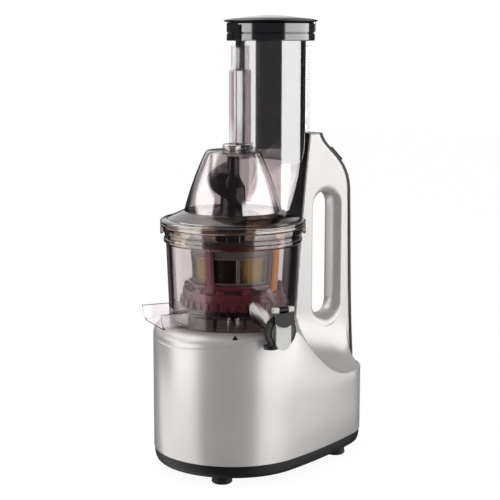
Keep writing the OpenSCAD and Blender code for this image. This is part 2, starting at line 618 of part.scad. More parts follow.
// ---- Cap at the end of the juice spout ----
cap_z = spout_root_z - (spout_reach - spout_root_r) * tan(spout_slope);
cap_r = spout_r + 4.3;
cap_t = 7;
cap_x = spout_reach + 0.1;
lever_x = cap_x + cap_t + 1.6;
lever_w = 16.6;
lever_t = 2.6;
cap_hinge_x = lever_x + 0.4;
cap_hinge_z = cap_z + 23.5;
cap_pin_r = 1.5;
module at_cap_hinge() out_dir(spout_dir) translate([cap_hinge_x, 0, cap_hinge_z]) children();
module across(r, l) rotate([90, 0, 0]) cylinder(r = r, h = l, center = true);
module cap_body() color([0.05, 0.05, 0.05]) difference() {
    union() {
        out_dir(spout_dir) {
            translate([cap_x, 0, cap_z]) rotate([0, 90, 0]) cylinder(r = cap_r, h = cap_t);
            translate([cap_x + 1, -5.2, cap_z + cap_r - 3]) cube([6, 10.4, cap_hinge_z - cap_z - cap_r + 3]);
            // stem and thumb pad beside the lever
            translate([cap_x, -12.5, cap_z - 15]) cube([5, 7.5, 9]);
            translate([cap_x - 1, -8.3, cap_z - 18]) cylinder(r = 7.5, h = 3.5);
        }
        at_cap_hinge() across(2.9, 10.4);
        at_cap_hinge() translate([-8, -5.2, -2.9]) cube([8, 10.4, 5.8]);
    }
    out_dir(spout_dir) translate([cap_x - 1, 0, cap_z]) rotate([0, 90, 0]) cylinder(r = 10.5, h = cap_t + 2);
    at_cap_hinge() across(cap_pin_r, 30);
}
module cap_pin() color([0.85, 0.85, 0.85]) at_cap_hinge() across(cap_pin_r - 0.001, 24);
module cap_lever() color([0.9, 0.89, 0.86]) difference() {
    union() {
        out_dir(spout_dir) translate([lever_x, 0, 0]) rotate([90, 0, 90]) linear_extrude(lever_t) {
            translate([-lever_w / 2, cap_z - 10]) square([lever_w, 22]);
            translate([0, cap_z - 10]) circle(lever_w / 2);
            for (s = [-1, 1]) translate([s * (lever_w / 4 + 2.8) - lever_w / 4 + 2.8, cap_z + 11])
                square([lever_w / 2 - 5.6, 12.5]);
        }
        for (s = [-1, 1]) at_cap_hinge() translate([0, s * 8.6, 0]) cube([5.2, 6, 4.8], center = true);
    }
    at_cap_hinge() across(cap_pin_r + run, 30);
}
module cap_cover() color([0.06, 0.06, 0.06]) out_dir(spout_dir) translate([lever_x + lever_t + 0.05, 0, 0])
    rotate([90, 0, 90]) linear_extrude(2.2) intersection() {
        translate([0, cap_z + 17.7]) circle(12);
        translate([-9.6, cap_z + 5]) square([19.2, 15.5]);
    }
module cap_plug() color([0.12, 0.12, 0.12]) out_dir(spout_dir) translate([cap_x + cap_t + 0.3, 0, cap_z])
    rotate([0, 90, 0]) cylinder(r = 12.5, h = lever_x - cap_x - cap_t - 0.35);

// ---- Squeezing set ----
basket_z = bowl_gear_z + bowl_gear_w + 6;
basket_top_z = 251;
function basket_r(z) = lerp(strainer_foot_r, strainer_top_r, (z - basket_z) / (basket_top_z - basket_z));
mesh_low_z = 207;
mesh_high_z = 232;
basket_t = 2.2;
module cone_band(z0, z1, out, t) rotate_extrude() polygon([[basket_r(z0) + out, z0], [basket_r(z1) + out, z1],
    [basket_r(z1) + out - t, z1], [basket_r(z0) + out - t, z0]]);
module strainer_bars(w) for (a = [0:45:135]) rotate(a) cube([200, w, 600], center = true);
module mesh_zone(grow) translate([0, 0, mesh_low_z + grow]) cylinder(r = 90, h = mesh_high_z - mesh_low_z - 2 * grow);
module strainer_frame() color([0.55, 0.53, 0.5]) {
    difference() {
        cone_band(basket_z, basket_top_z, 0, basket_t);
        difference() {
            mesh_zone(0);
            strainer_bars(4);
        }
    }
    translate([0, 0, basket_z]) difference() {
        cylinder(r = basket_r(basket_z) - 1, h = 2);
        translate([0, 0, -1]) cylinder(r = 16, h = 4);
    }
}
module strainer_mesh() color([0.62, 0.5, 0.22]) difference() {
    intersection() {
        cone_band(basket_z, basket_top_z, -0.8, 0.7);
        mesh_zone(0.05);
    }
    strainer_bars(4.1);
}
cage_t = 3;
cage_out = 2.6;
rib_dirs = [22, 112, 202, 292];
ring_r = 57;
module brush_cage() color([0.45, 0.06, 0.12]) {
    // toothed drive ring at the foot
    difference() {
        translate([0, 0, bowl_gear_z]) cylinder(r = ring_r, h = bowl_gear_w);
        translate([0, 0, bowl_gear_z - 1]) linear_extrude(bowl_gear_w + 2)
            ring_space_2d(ring_teeth, bowl_gear_m, 180 / ring_teeth);
        for (a = [0:15:345]) rotate(a) translate([ring_r, 0, bowl_gear_z - 1]) cylinder(r = 2.6, h = 20);
    }
    difference() {
        translate([0, 0, bowl_gear_z + bowl_gear_w - eps]) cylinder(r = 54, h = 9);
        translate([0, 0, bowl_gear_z]) cylinder(r = strainer_foot_r + 2, h = 40);
    }
    for (z = [200, basket_top_z - 9]) cone_band(z, z + 4, cage_out + cage_t, cage_t);
    for (a = rib_dirs) rotate(a) intersection() {
        cone_band(bowl_gear_z + bowl_gear_w + 2, basket_top_z - 5, cage_out + cage_t + 0.5, cage_t);
        translate([30, -4, bowl_gear_z]) cube([40, 8, 100]);
    }
}
module wiper_blades() color([0.9, 0.45, 0.1]) for (a = [22, 112]) rotate(a) intersection() {
    cone_band(204.1, basket_top_z - 9.1, cage_out + cage_t + 3.2, 2.6);
    translate([30, -3, bowl_gear_z]) cube([40, 6, 100]);
}
module cage_pinion() color([0.9, 0.9, 0.88]) translate(pinion_at) translate([0, 0, bowl_gear_z])
    difference() {
        linear_extrude(bowl_gear_w) gear_2d(pinion_teeth, bowl_gear_m, 180 / pinion_teeth);
        translate([0, 0, -1]) cylinder(r = 3 + run, h = 20);
    }

flight_z = basket_z + 3;
auger_top_z = dome_top_z - 7;
flight_h = auger_top_z - 18 - flight_z;
module auger() color([0.1, 0.09, 0.1]) difference() {
    union() {
        translate([0, 0, bowl_gear_z]) linear_extrude(bowl_gear_w) gear_2d(pinion_teeth, bowl_gear_m, 0);
        rotate_extrude() polygon([[0, bowl_gear_z + bowl_gear_w - 1], [9.5, bowl_gear_z + bowl_gear_w - 1],
            [13, basket_z], [14, flight_z], [30, flight_z], [28, flight_z + 22], [20, flight_z + 55],
            [13.5, flight_z + 85], [13, auger_top_z - 14], [9, auger_top_z - 8], [6, auger_top_z - 7],
            [6, auger_top_z], [0, auger_top_z]]);
        // two flights wound round the core, narrowing upwards
        translate([0, 0, flight_z + 0.5]) linear_extrude(flight_h, twist = 520, scale = auger_top_r / auger_r,
            slices = 56) for (a = [0, 180]) rotate(a) polygon([[0, 7], [auger_r * 0.62, 6.4],
                [auger_r - 1.2, 2.6], [auger_r, 0], [auger_r - 1.2, -2.2], [auger_r * 0.62, -4.2], [0, -6]]);
    }
    translate([0, 0, bowl_gear_z - 1]) cylinder(r = 9, h = hex_h + 3.1);
}
module auger_socket() color([0.8, 0.8, 0.82]) difference() {
    translate([0, 0, bowl_gear_z]) cylinder(r = 8.98, h = hex_h + 2);
    translate([0, 0, bowl_gear_z - 1]) cylinder(r = hex_r + 0.08, h = hex_h + 1, $fn = 6);
}

// ---- Hopper ----
cone_z = rim_z + 8;
dome_z = 279;
elbow_y = 46;
elbow_z = 352;
function chute_back(d) = bezier([tube_y + tube_r - d, elbow_z], [68 - d, elbow_z - 7], [60 - d, 310],
    [elbow_y - d, dome_z], 8);
module chute(r, d, low, high) difference() {
    translate([0, tube_y, low]) cylinder(r = r, h = high - low);
    along_x(4 * tube_r) polygon(concat(chute_back(d), [[elbow_y - d, low - 5], [150, low - 5],
        [150, elbow_z]]));
}
module dome(d, low) rotate_extrude() polygon([[0, low], [dome_foot_r - d, low], [dome_foot_r - d, dome_z],
    [lerp(dome_foot_r, dome_top_r, 0.55) - d + 1, lerp(dome_z, dome_top_z, 0.55)],
    [dome_top_r + 0.6 - d, dome_top_z - 2 - d / 2], [dome_top_r - 1.5 - d, dome_top_z - d], [0, dome_top_z - d]]);
fin_low_z = col_top_z + 4;
fin_top_z = tube_top_z - 22;
channel_top_z = tube_top_z - 47;
boss_r = 9;
module hopper() color([0.3, 0.27, 0.28, 0.5]) difference() {
    union() {
        // rim, cone and the skirt that reaches down into the bowl
        rotate_extrude() polygon([[dome_foot_r - 4, dome_z - 3], [rim_r - 4, rim_z + 4.6], [rim_r - 4, rim_z + gap],
            [rim_r - 1, rim_z + gap], [rim_r, rim_z + 1.5], [rim_r, cone_z - 1.5], [rim_r - 1.5, cone_z],
            [dome_foot_r, dome_z + 0.5], [dome_foot_r - 4, dome_z + 0.5]]);
        dome(0, dome_z - 3);
        chute(tube_r, 0, dome_z - 1, tube_top_z);
        translate([0, 0, dome_top_z - 1]) cylinder(r = boss_r + 2, h = 7.5);
        // front channel and its fin, rear fin over the column
        translate([-6.5, -1, dome_top_z + 6]) cube([13, tube_y - tube_r + 5, channel_top_z - dome_top_z - 6]);
        translate([-fin_w / 2, -1, channel_top_z - 1])
            cube([fin_w, tube_y - tube_r + 5, fin_top_z - channel_top_z + 1]);
        translate([-fin_w / 2, tube_y + tube_r - 3, fin_low_z]) cube([fin_w, 19, fin_top_z - fin_low_z]);
        // skirt that closes on the basket
        rotate_extrude() polygon([[strainer_top_r - 3, basket_top_z + 0.6], [strainer_top_r, basket_top_z + 0.6],
            [dome_foot_r, dome_z - 3], [dome_foot_r - 3, dome_z - 3]]);
    }
    dome(tube_wall, dome_z - 6);
    chute(tube_r - tube_wall, tube_wall, dome_z + 0.5, tube_top_z + 5);
    translate([0, 0, dome_top_z - 8]) cylinder(r = 8, h = 12);
    translate([-4.3, 1.2, dome_top_z + 8]) cube([8.6, 9, channel_top_z - dome_top_z - 6]);
    translate([-2.2, tube_y + tube_r + 8, fin_low_z - 1]) cube([4.4, 5, 6]);
}
module hopper_seal() color([0.85, 0.85, 0.83]) translate([0, 0, rim_z + gap]) difference() {
    cylinder(r = rim_r - 4.2, h = 1.6);
    translate([0, 0, -1]) cylinder(r = rim_r - 7.2, h = 5);
}
module auger_bush() color([0.85, 0.82, 0.7]) translate([0, 0, dome_top_z - 6.5]) difference() {
    cylinder(r = 7.98, h = 10.4);
    translate([0, 0, -1]) cylinder(r = 6 + run, h = 8);
}
module lid_magnet() color([0.6, 0.6, 0.62]) translate([-2.1, tube_y + tube_r + 8.1, fin_low_z])
    cube([4.2, 4.8, 4.9]);

// ---- Collar and lid of the feed tube ----
collar_z = tube_top_z + 3 - mouth_h;
hinge_y = tube_y + mouth_r + 3;
hinge_z = tube_top_z + 2;
latch_w = 14;
knuckle_r = 3.2;
knuckle_x = 8.7;
module mouth_collar() color([0.06, 0.06, 0.065]) difference() {
    union() {
        translate([0, tube_y, 0]) rotate_extrude() polygon([[tube_r + 0.02, collar_z], [mouth_r - 0.5, collar_z],
            [mouth_r, collar_z + 1], [mouth_r, collar_z + 7], [mouth_r - 1.2, collar_z + 7.6],
            [mouth_r - 1.2, collar_z + 8.4], [mouth_r, collar_z + 9], [mouth_r, collar_z + mouth_h - 2],
            [mouth_r - 1, collar_z + mouth_h - 1], [tube_r + 0.02, collar_z + mouth_h - 1]]);
        for (s = [-1, 1]) translate([s * 12 - 3, tube_y + mouth_r - 3, hinge_z - 9]) cube([6, 7, 11]);
        // front latch block
        translate([-latch_w / 2, tube_y - mouth_r - 2, collar_z]) cube([latch_w, 6, mouth_h - 3]);
    }
    translate([0, hinge_y - 1, hinge_z - 0.6]) rotate([0, 90, 0]) {
        cylinder(r = 1.6, h = 60, center = true);
        cylinder(r = knuckle_r + gap, h = 2 * knuckle_x + gap, center = true);
    }
    translate([-4, tube_y - mouth_r - 3, collar_z + 3]) cube([8, 2.2, 6]);
}
lid_z = collar_z + mouth_h - 0.7;
module feed_lid() color([0.05, 0.05, 0.055]) difference() {
    union() {
        translate([0, tube_y, lid_z]) rotate_extrude() polygon([[0, 0], [mouth_r - 1, 0], [lip_r, 1.2], [lip_r, 2.2],
            [mouth_r - 2, 3.6], [34, 4.6], [0, 4.6]]);
        translate([0, hinge_y - 1, hinge_z - 0.6]) rotate([0, 90, 0]) cylinder(r = knuckle_r, h = 2 * knuckle_x, center = true);
        translate([-knuckle_x, hinge_y - 8, lid_z]) cube([2 * knuckle_x, 7, 2.4]);
    }
    translate([0, hinge_y - 1, hinge_z - 0.6]) rotate([0, 90, 0]) cylinder(r = 1.65, h = 60, center = true);
    for (s = [-1, 1]) translate([s * 12 - 3.3, tube_y + mouth_r - 4, hinge_z - 12]) cube([6.6, 12, 30]);
    translate([0, tube_y, lid_z + 2.6]) cylinder(r = 32.2, h = 5);
}
module feed_lid_inlay() color([0.8, 0.8, 0.82]) translate([0, tube_y, lid_z + 2.6]) rotate_extrude()
    polygon(concat([[0, 0.02], [32, 0.02]], [for (i = [0:6]) let (r = 32 * (1 - i / 6))
        [r, 2.2 + 2.7 * (1 - pow(r / 32, 2))]]));
module lid_hinge_pin() color([0.8, 0.8, 0.82]) translate([0, hinge_y - 1, hinge_z - 0.6]) rotate([0, 90, 0])
    cylinder(r = 1.598, h = 29, center = true);

in_frame() base_plate();
in_frame() feet();
in_frame() base_screws();
in_frame() cord_gland();
in_frame() lower_housing();
in_frame() upper_housing();
in_frame() column_front_cover();
in_frame() column_rear_cover();
in_frame() switch_housing();
in_frame() control_switch();
in_frame() motor_mounts();
in_frame() motor_frame();
in_frame() motor_stator();
in_frame() motor_windings();
in_frame() motor_bearings();
in_frame() rotor();
in_frame() motor_shaft();
in_frame() motor_fan();
in_frame() gearbox_case();
in_frame() gearbox_cover();
in_frame() gear_bushes();
in_frame() counter_gear();
in_frame() output_gear();
in_frame() drive_shaft();
in_frame() shaft_bearings();
in_frame() shaft_seal();
in_frame() control_board();
in_frame() capacitor();
in_frame() reed_switch();
in_frame() bowl();
in_frame() pulp_tray();
in_frame() juice_spout();
in_frame() bowl_seal();
in_frame() pulp_plug();
in_frame() pinion_post();
in_frame() cap_body();
in_frame() cap_pin();
in_frame() cap_lever();
in_frame() cap_cover();
in_frame() cap_plug();
in_frame() strainer_frame();
in_frame() strainer_mesh();
in_frame() brush_cage();
in_frame() wiper_blades();
in_frame() cage_pinion();
in_frame() auger();
in_frame() auger_socket();
in_frame() hopper();
in_frame() hopper_seal();
in_frame() auger_bush();
in_frame() lid_magnet();
in_frame() mouth_collar();
in_frame() feed_lid();
in_frame() feed_lid_inlay();
in_frame() lid_hinge_pin();
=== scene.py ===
"""Vertical slow juicer: looks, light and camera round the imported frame.

The mesh code counts in millimetres about the bowl axis, with the juicer's front towards -Y. Angles go from +X
towards +Y, unless a comment says otherwise.
"""
import json
from math import acos, atan2, cos, exp, hypot, pi, radians, sin, sqrt, tan

import bmesh
import bpy
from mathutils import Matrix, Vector


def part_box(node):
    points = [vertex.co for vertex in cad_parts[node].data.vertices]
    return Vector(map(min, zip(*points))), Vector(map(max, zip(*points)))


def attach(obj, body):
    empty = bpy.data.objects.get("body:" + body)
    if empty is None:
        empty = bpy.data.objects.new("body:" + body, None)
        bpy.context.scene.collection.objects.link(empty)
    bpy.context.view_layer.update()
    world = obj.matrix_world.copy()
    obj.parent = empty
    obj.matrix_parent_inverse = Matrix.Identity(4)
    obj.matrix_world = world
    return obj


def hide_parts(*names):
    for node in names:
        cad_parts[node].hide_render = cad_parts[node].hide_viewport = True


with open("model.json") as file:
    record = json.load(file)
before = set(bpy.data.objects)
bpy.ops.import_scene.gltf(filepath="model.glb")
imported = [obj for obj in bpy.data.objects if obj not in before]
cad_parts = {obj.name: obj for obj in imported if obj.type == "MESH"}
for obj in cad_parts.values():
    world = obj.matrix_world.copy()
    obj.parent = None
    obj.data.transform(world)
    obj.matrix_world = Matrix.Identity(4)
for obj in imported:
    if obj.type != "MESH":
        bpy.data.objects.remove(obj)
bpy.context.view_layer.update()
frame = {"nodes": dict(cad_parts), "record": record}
NODE = frame["nodes"]
MM = 0.001
PLATE_FRONT = 85.4      # the base plate's front edge, ahead of the bowl axis
plate_lo, plate_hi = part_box("base_plate")
AX = (plate_lo[0] + plate_hi[0]) / 2 / MM          # the bowl axis in the frame
AY = plate_lo[1] / MM + PLATE_FRONT


# -------------------- node materials
class Nodes:
    """A node tree being wired up."""

    def __init__(self, tree):
        self.t = tree
        tree.nodes.clear()

    def node(self, kind, links=None, **props):
        n = self.t.nodes.new("ShaderNode" + kind)
        for k, v in props.items():
            setattr(n, k, v)
        for k, v in (links or {}).items():
            self.put(n, k, v)
        return n

    def put(self, n, key, v):
        s = n.inputs[key]
        if isinstance(v, bpy.types.NodeSocket):
            self.t.links.new(v, s)
        else:
            s.default_value = v

    def math(self, op, a, b, clamp=False):
        return self.node("Math", {0: a, 1: b}, operation=op, use_clamp=clamp).outputs[0]


class Mat(Nodes):
    """A material with the few recipes that all of them share."""

    def __init__(self, name):
        self.m = bpy.data.materials.new(name)
        self.m.use_nodes = True
        super().__init__(self.m.node_tree)
        self.out = self.node("OutputMaterial")

    def coord(self):
        return self.node("TexCoord").outputs["Object"]

    def noise(self, scale, detail=3.0, rough=0.5, vec=None):
        links = {"Vector": vec or self.coord(), "Scale": scale, "Detail": detail, "Roughness": rough}
        return self.node("TexNoise", links).outputs["Fac"]

    def ramp(self, fac, stops):
        n = self.node("ValToRGB", {"Fac": fac})
        for x, (p, c) in zip(n.color_ramp.elements, stops):
            x.position = p
            x.color = (*c, 1)
        return n.outputs["Color"]

    def span(self, fac, lo, hi):
        return self.node("MapRange", {"Value": fac, "To Min": lo, "To Max": hi}).outputs[0]

    def bump(self, height, strength, dist):
        return self.node("Bump", {"Height": height, "Strength": strength, "Distance": dist}).outputs["Normal"]

    def principled(self, **v):
        return self.node("BsdfPrincipled", {k.replace("_", " "): x for k, x in v.items()})

    def done(self, shader):
        self.t.links.new(shader.outputs[0], self.out.inputs["Surface"])
        return self.m


def scale3(c, k):
    return tuple(min(1.0, x * k) for x in c)


WHITE = (1, 1, 1, 1)
CLOUD, GLOSS, GRAIN = 22.0, 60.0, 900.0      # noise scales of colour, gloss and surface
COAT_ROUGH, GRAIN_DEPTH = 0.06, 0.0002      # depth in metres


def plastic(name, base, rough, spread=0.06, grain=GRAIN, bump=0.05, coat=0.0, ior=1.5):
    """Moulded plastic: a faint cloudiness in the colour, a fine surface grain and uneven gloss."""
    m = Mat(name)
    col = m.ramp(m.noise(CLOUD, 4.0), [(0.3, scale3(base, 1 - spread)), (0.7, scale3(base, 1 + spread))])
    gloss = m.span(m.noise(GLOSS), rough * 0.86, rough * 1.16)
    grained = m.bump(m.noise(grain, 2.0), bump, GRAIN_DEPTH)
    return m.done(m.principled(Base_Color=col, Roughness=gloss, IOR=ior, Coat_Weight=coat,
                               Coat_Roughness=COAT_ROUGH, Normal=grained))


def silver_paint():
    """Silver paint: fine flakes and faint clouds under a thin coat."""
    m = Mat("silver_paint")
    cloud = m.noise(9.0)
    tone = m.math("ADD", m.span(m.noise(2600.0, 2.0, 0.7), -0.3, 0.3), cloud)
    col = m.ramp(tone, [(0.2, (0.50, 0.484, 0.472)), (0.8, (0.62, 0.601, 0.588))])
    grained = m.bump(m.noise(1500.0, 2.0), 0.05, GRAIN_DEPTH)
    return m.done(m.principled(Base_Color=col, Metallic=0.22, Roughness=m.span(cloud, 0.30, 0.35), IOR=1.5,
                               Coat_Weight=0.12, Coat_Roughness=0.2, Normal=grained))


def metal(name, base, rough, streak=(1, 1, 1)):
    """Bare metal with a fine grain, stretched by streak."""
    m = Mat(name)
    vec = m.node("Mapping", {"Vector": m.coord(), "Scale": streak}).outputs[0]
    grain = m.noise(700.0, vec=vec)
    col = m.ramp(grain, [(0.3, scale3(base, 0.86)), (0.7, base)])
    gloss = m.span(grain, rough * 0.8, rough * 1.25)
    grained = m.bump(grain, 0.08, GRAIN_DEPTH / 2)
    return m.done(m.principled(Base_Color=col, Metallic=1.0, Roughness=gloss, Normal=grained))


MIRROR_GAIN, MIRROR_POWER = 0.62, 4.5


def clear(name, tint, edge, band=(0.55, 0.68), mirror=0.10, rough=0.03):
    """One face of a clear or smoked wall. Light passes with a tint, which turns to the edge colour where the
    wall is seen along its length. The mirror share starts at mirror and grows with a power of that slant."""
    m = Mat(name)
    facing = m.node("LayerWeight", {"Blend": 0.5}).outputs["Facing"]
    cloud = m.noise(35.0)
    slant = m.math("ADD", facing, m.span(cloud, -0.02, 0.02))
    see = m.node("BsdfTransparent", {"Color": m.ramp(slant, [(band[0], tint), (band[1], edge)])})
    shine = m.node("BsdfGlossy", {"Color": WHITE, "Roughness": m.span(cloud, rough * 0.7, rough * 1.4),
                                  "Normal": m.bump(m.noise(90.0, 2.0), 0.02, 0.0006)})
    share = m.math("ADD", m.math("MULTIPLY", m.math("POWER", facing, MIRROR_POWER), MIRROR_GAIN), mirror)
    return m.done(m.node("MixShader", {0: share, 1: see.outputs[0], 2: shine.outputs[0]}))


M_SILVER = silver_paint()
M_BASE = plastic("black_satin", (0.012, 0.012, 0.013), 0.45, bump=0.15, ior=1.22)
M_CAP = plastic("cap_black", (0.010, 0.010, 0.011), 0.3, bump=0.08, ior=1.3)
M_AUGER = plastic("auger_black", (0.012, 0.009, 0.01), 0.3, bump=0.04)
M_CAGE = plastic("cage_maroon", (0.20, 0.040, 0.047), 0.28, spread=0.15, coat=0.3)
M_WIPER = plastic("wiper_orange", (1.0, 0.36, 0.0), 0.4, spread=0.1)
M_RING = plastic("strainer_grey", (0.20, 0.18, 0.16), 0.3)
M_MESH = metal("mesh_amber", (0.17, 0.13, 0.05), 0.3)
M_SMOKE = clear("smoke_bowl", (0.86, 0.82, 0.825), (0.36, 0.31, 0.32), mirror=0.02)
M_SMOKE_RIM = clear("smoke_rim", (0.68, 0.60, 0.56), (0.19, 0.16, 0.15), (0.5, 0.66), mirror=0.11)
# darker, browner glass for the bowl's collar, also laid on the bowl's foot edge as painted shade
M_COLLAR_AND_FOOT_SHADE = clear("smoke_collar_and_foot_shade", (0.66, 0.57, 0.52), (0.21, 0.17, 0.16), (0.5, 0.66), mirror=0.065)
M_SMOKE_DOME = clear("smoke_dome", (0.83, 0.79, 0.795), (0.18, 0.15, 0.16), (0.62, 0.74), mirror=0.10)
# the feed tube's glass is darker than the dome's: painted shade for the dark band down the tube's middle
M_SMOKE_TUBE_SHADE = clear("smoke_tube_painted_shade", (0.45, 0.44, 0.44), (0.16, 0.14, 0.14), mirror=0.15)
M_FIN = clear("clear_fin", (0.86, 0.83, 0.84), (0.45, 0.42, 0.43), (0.7, 0.9), mirror=0.08)
M_CLEAR = clear("clear_plastic", (0.955, 0.93, 0.94), (0.42, 0.38, 0.4), (0.86, 0.96), mirror=0.04)
M_SPOUT = clear("clear_spout", (0.80, 0.71, 0.68), (0.15, 0.11, 0.10), (0.3, 0.75), mirror=0.11, rough=0.2)
# near-black glass for thin edges: painted shade standing in for the dark lines refraction draws along them
M_EDGE_SHADE = clear("clear_edge_painted_shade", (0.15, 0.12, 0.13), (0.08, 0.07, 0.07), mirror=0.05)

SLOT_MAT = {
    "silver_body": M_SILVER, "black_base": M_BASE, "smoke_clear": M_SMOKE, "clear": M_CLEAR,
    "auger_black": M_AUGER, "strainer_grey": M_RING, "mesh_amber": M_MESH, "cage_maroon": M_CAGE,
    "wiper_orange": M_WIPER,
    "black_trim": plastic("black_gloss", (0.018, 0.018, 0.02), 0.12, coat=0.6, ior=1.7, bump=0.02),
    "foot_rubber": plastic("foot_rubber", (0.014, 0.014, 0.014), 0.6, grain=500.0, bump=0.3, ior=1.25),
    "switch_grey": plastic("switch_grey", (0.16, 0.16, 0.165), 0.45),
    "steel": metal("steel", (0.72, 0.73, 0.75), 0.25),
    "lever_white": plastic("lever_white", (0.74, 0.73, 0.68), 0.35, spread=0.02),
    "lid_grey": plastic("lid_grey", (0.88, 0.88, 0.89), 0.35, spread=0.02),
    "seal_pale": plastic("seal_pale", (0.62, 0.62, 0.6), 0.5),
    "seal_dark": plastic("seal_dark", (0.04, 0.04, 0.04), 0.5),
    "copper": metal("copper", (0.72, 0.33, 0.15), 0.35),
    "cast": metal("cast", (0.6, 0.61, 0.62), 0.5),
    "nylon": plastic("nylon", (0.72, 0.69, 0.6), 0.45),
    "board_green": plastic("board_green", (0.03, 0.16, 0.07), 0.4),
    "capacitor_blue": plastic("case_blue", (0.06, 0.09, 0.2), 0.4),
    "bronze": metal("bronze", (0.7, 0.5, 0.22), 0.35),
    "laminate": metal("iron", (0.35, 0.35, 0.36), 0.55, streak=(1, 1, 12)),
}


# -------------------- mesh helpers
def lerp(a, b, t):
    return a + (b - a) * t


def clamp(v):
    return max(0.0, min(1.0, v))


def evenly(a, b, n):
    """From a to b in n equal steps, with both ends."""
    return [lerp(a, b, i / n) for i in range(n + 1)]


def rect(a0, a1, b0, b1):
    """The four corners of a rectangle, in turn."""
    return [(a0, b0), (a1, b0), (a1, b1), (a0, b1)]


def polar(r, a, z):
    return (r * cos(a), r * sin(a), z)


def full_turn(n):
    return [2 * pi * i / n for i in range(n)]


def circle(r, z, n, cx=0, cy=0):
    """A ring of n points about (cx, cy)."""
    return [(cx + x, cy + y, z) for x, y, z in [polar(r, a, z) for a in full_turn(n)]]


def wavy(radii, z, d=0.0):
    """A ring about the axis with its own radius at each point, grown by d."""
    return [polar(r + d, a, z) for r, a in zip(radii, full_turn(len(radii)))]


def turned(deg, u, w, z):
    """The point u outwards and w across, turned by deg about the bowl axis."""
    a = radians(deg)
    return (u * cos(a) - w * sin(a), u * sin(a) + w * cos(a), z)


def link(name, data):
    o = bpy.data.objects.new(name, data)
    bpy.context.scene.collection.objects.link(o)
    return o


def shade(o, sharp):
    """Smooth shading that keeps the edges sharper than so many degrees."""
    o.data.shade_smooth()
    o.data.set_sharp_from_angle(angle=radians(sharp))
    return o


def paint(o, *mats):
    """The object with these materials alone."""
    o.data.materials.clear()
    for m in mats:
        o.data.materials.append(m)
    return o


def new_obj(name, verts, faces, mat, sharp=34):
    me = bpy.data.meshes.new(name)
    me.from_pydata([((x + AX) * MM, (y + AY) * MM, z * MM) for x, y, z in verts], [], faces)
    me.validate()
    bm = bmesh.new()
    bm.from_mesh(me)
    bmesh.ops.recalc_face_normals(bm, faces=bm.faces)
    bm.to_mesh(me)
    bm.free()
    me.materials.append(mat)
    return shade(link(name, me), sharp)


def rings_mesh(rings, closed=False, caps=False):
    """Vertices and faces of a skin over equal rings: closed joins the last to the first, caps fills both."""
    n = len(rings[0])
    k = len(rings)
    faces = []
    for j in range(k if closed else k - 1):
        a, b = j * n, ((j + 1) % k) * n
        faces += [(a + i, a + (i + 1) % n, b + (i + 1) % n, b + i) for i in range(n)]
    if caps:
        faces += [tuple(range(n - 1, -1, -1)), tuple((k - 1) * n + i for i in range(n))]
    return [p for r in rings for p in r], faces


def skin(name, rings, mat, sharp=34, closed=False, caps=False):
    return new_obj(name, *rings_mesh(rings, closed, caps), mat, sharp)


STRAIGHT, SIDE_SHARE = radians(88), 0.48      # a rounding takes less than half of each side


def fillet(points, radii, steps=4):
    """A closed 2-D path with its corners rounded. radii is one number or one per point."""
    out = []
    n = len(points)
    rr = radii if isinstance(radii, (list, tuple)) else [radii] * n
    for i, p in enumerate(points):
        p, a, b = Vector(p), Vector(points[i - 1]), Vector(points[(i + 1) % n])
        u, v = a - p, b - p
        reach = min(u.length, v.length) * SIDE_SHARE
        u.normalize()
        v.normalize()
        half = max(0.05, u.angle(v) / 2) if rr[i] > 0 and reach > 0 else pi
        if half > STRAIGHT:
            out.append(tuple(p))
            continue
        t = min(rr[i] / tan(half), reach)
        for w in evenly(0, 1, steps):
            out.append(tuple((p + u * t) * (1 - w) ** 2 + p * 2 * w * (1 - w) + (p + v * t) * w ** 2))
    return out


def revolve(name, profile, mat, steps=128, centre=(0, 0), r=0.0):
    """A solid of revolution about a vertical axis from a profile of (radius, z), corners rounded by r."""
    points = fillet(profile, r) if r else profile
    return skin(name, [circle(q, z, steps, *centre) for q, z in points], mat, closed=True)


def apply_mods(o):
    dg = bpy.context.evaluated_depsgraph_get()
    me = bpy.data.meshes.new_from_object(o.evaluated_get(dg))
    o.modifiers.clear()
    old = o.data
    o.data = me
    bpy.data.meshes.remove(old)
    return o


def modify(o, kind, **props):
    """The object with one more modifier, set by its own names."""
    m = o.modifiers.new(kind.lower(), kind)
    for k, v in props.items():
        setattr(m, k, v)
    return o


def bevel(o, width, seg=3, angle=40):
    return modify(o, "BEVEL", width=width * MM, segments=seg, limit_method="ANGLE",
                  angle_limit=radians(angle))


def boolean(o, operation, *tools):
    """The tools joined to or cut from an object, and used up."""
    for t in tools:
        modify(o, "BOOLEAN", operation=operation, solver="EXACT", object=t)
    apply_mods(o)
    for t in tools:
        bpy.data.objects.remove(t)
    return o


def join(name, *objs):
    """One object of several, with all their materials."""
    bm = bmesh.new()
    mats = []
    for o in objs:
        base = len(bm.faces)
        for m in o.data.materials:
            if m not in mats:
                mats.append(m)
        index = [mats.index(m) for m in o.data.materials]
        bm.from_mesh(o.data)
        bm.faces.ensure_lookup_table()
        for f in bm.faces[base:]:
            f.material_index = index[min(f.material_index, len(index) - 1)]
        bpy.data.objects.remove(o)
    me = bpy.data.meshes.new(name)
    bm.to_mesh(me)
    bm.free()
    for m in mats:
        me.materials.append(m)
    return link(name, me)


def put(o, body, slot, *nodes):
    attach(o, body)
    if nodes:
        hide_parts(*nodes)
    return o


def prism(name, outline, x0, x1, mat, place=lambda s, a, b: (s, a, b)):
    """A solid from a 2-D outline (a, b) swept along s from x0 to x1; place maps (s, a, b) to x, y, z."""
    n = len(outline)
    v = [place(x0, *p) for p in outline] + [place(x1, *p) for p in outline]
    f = [tuple(range(n)), tuple(range(2 * n - 1, n - 1, -1))]
    f += [(i, (i + 1) % n, n + (i + 1) % n, n + i) for i in range(n)]
    return new_obj(name, v, f, mat)


def box(name, x, y, z, mat, width=0.0):
    """A block between pairs of coordinates, bevelled by width."""
    o = prism(name, rect(*y, *z), *x, mat)
    return apply_mods(bevel(o, width)) if width else o


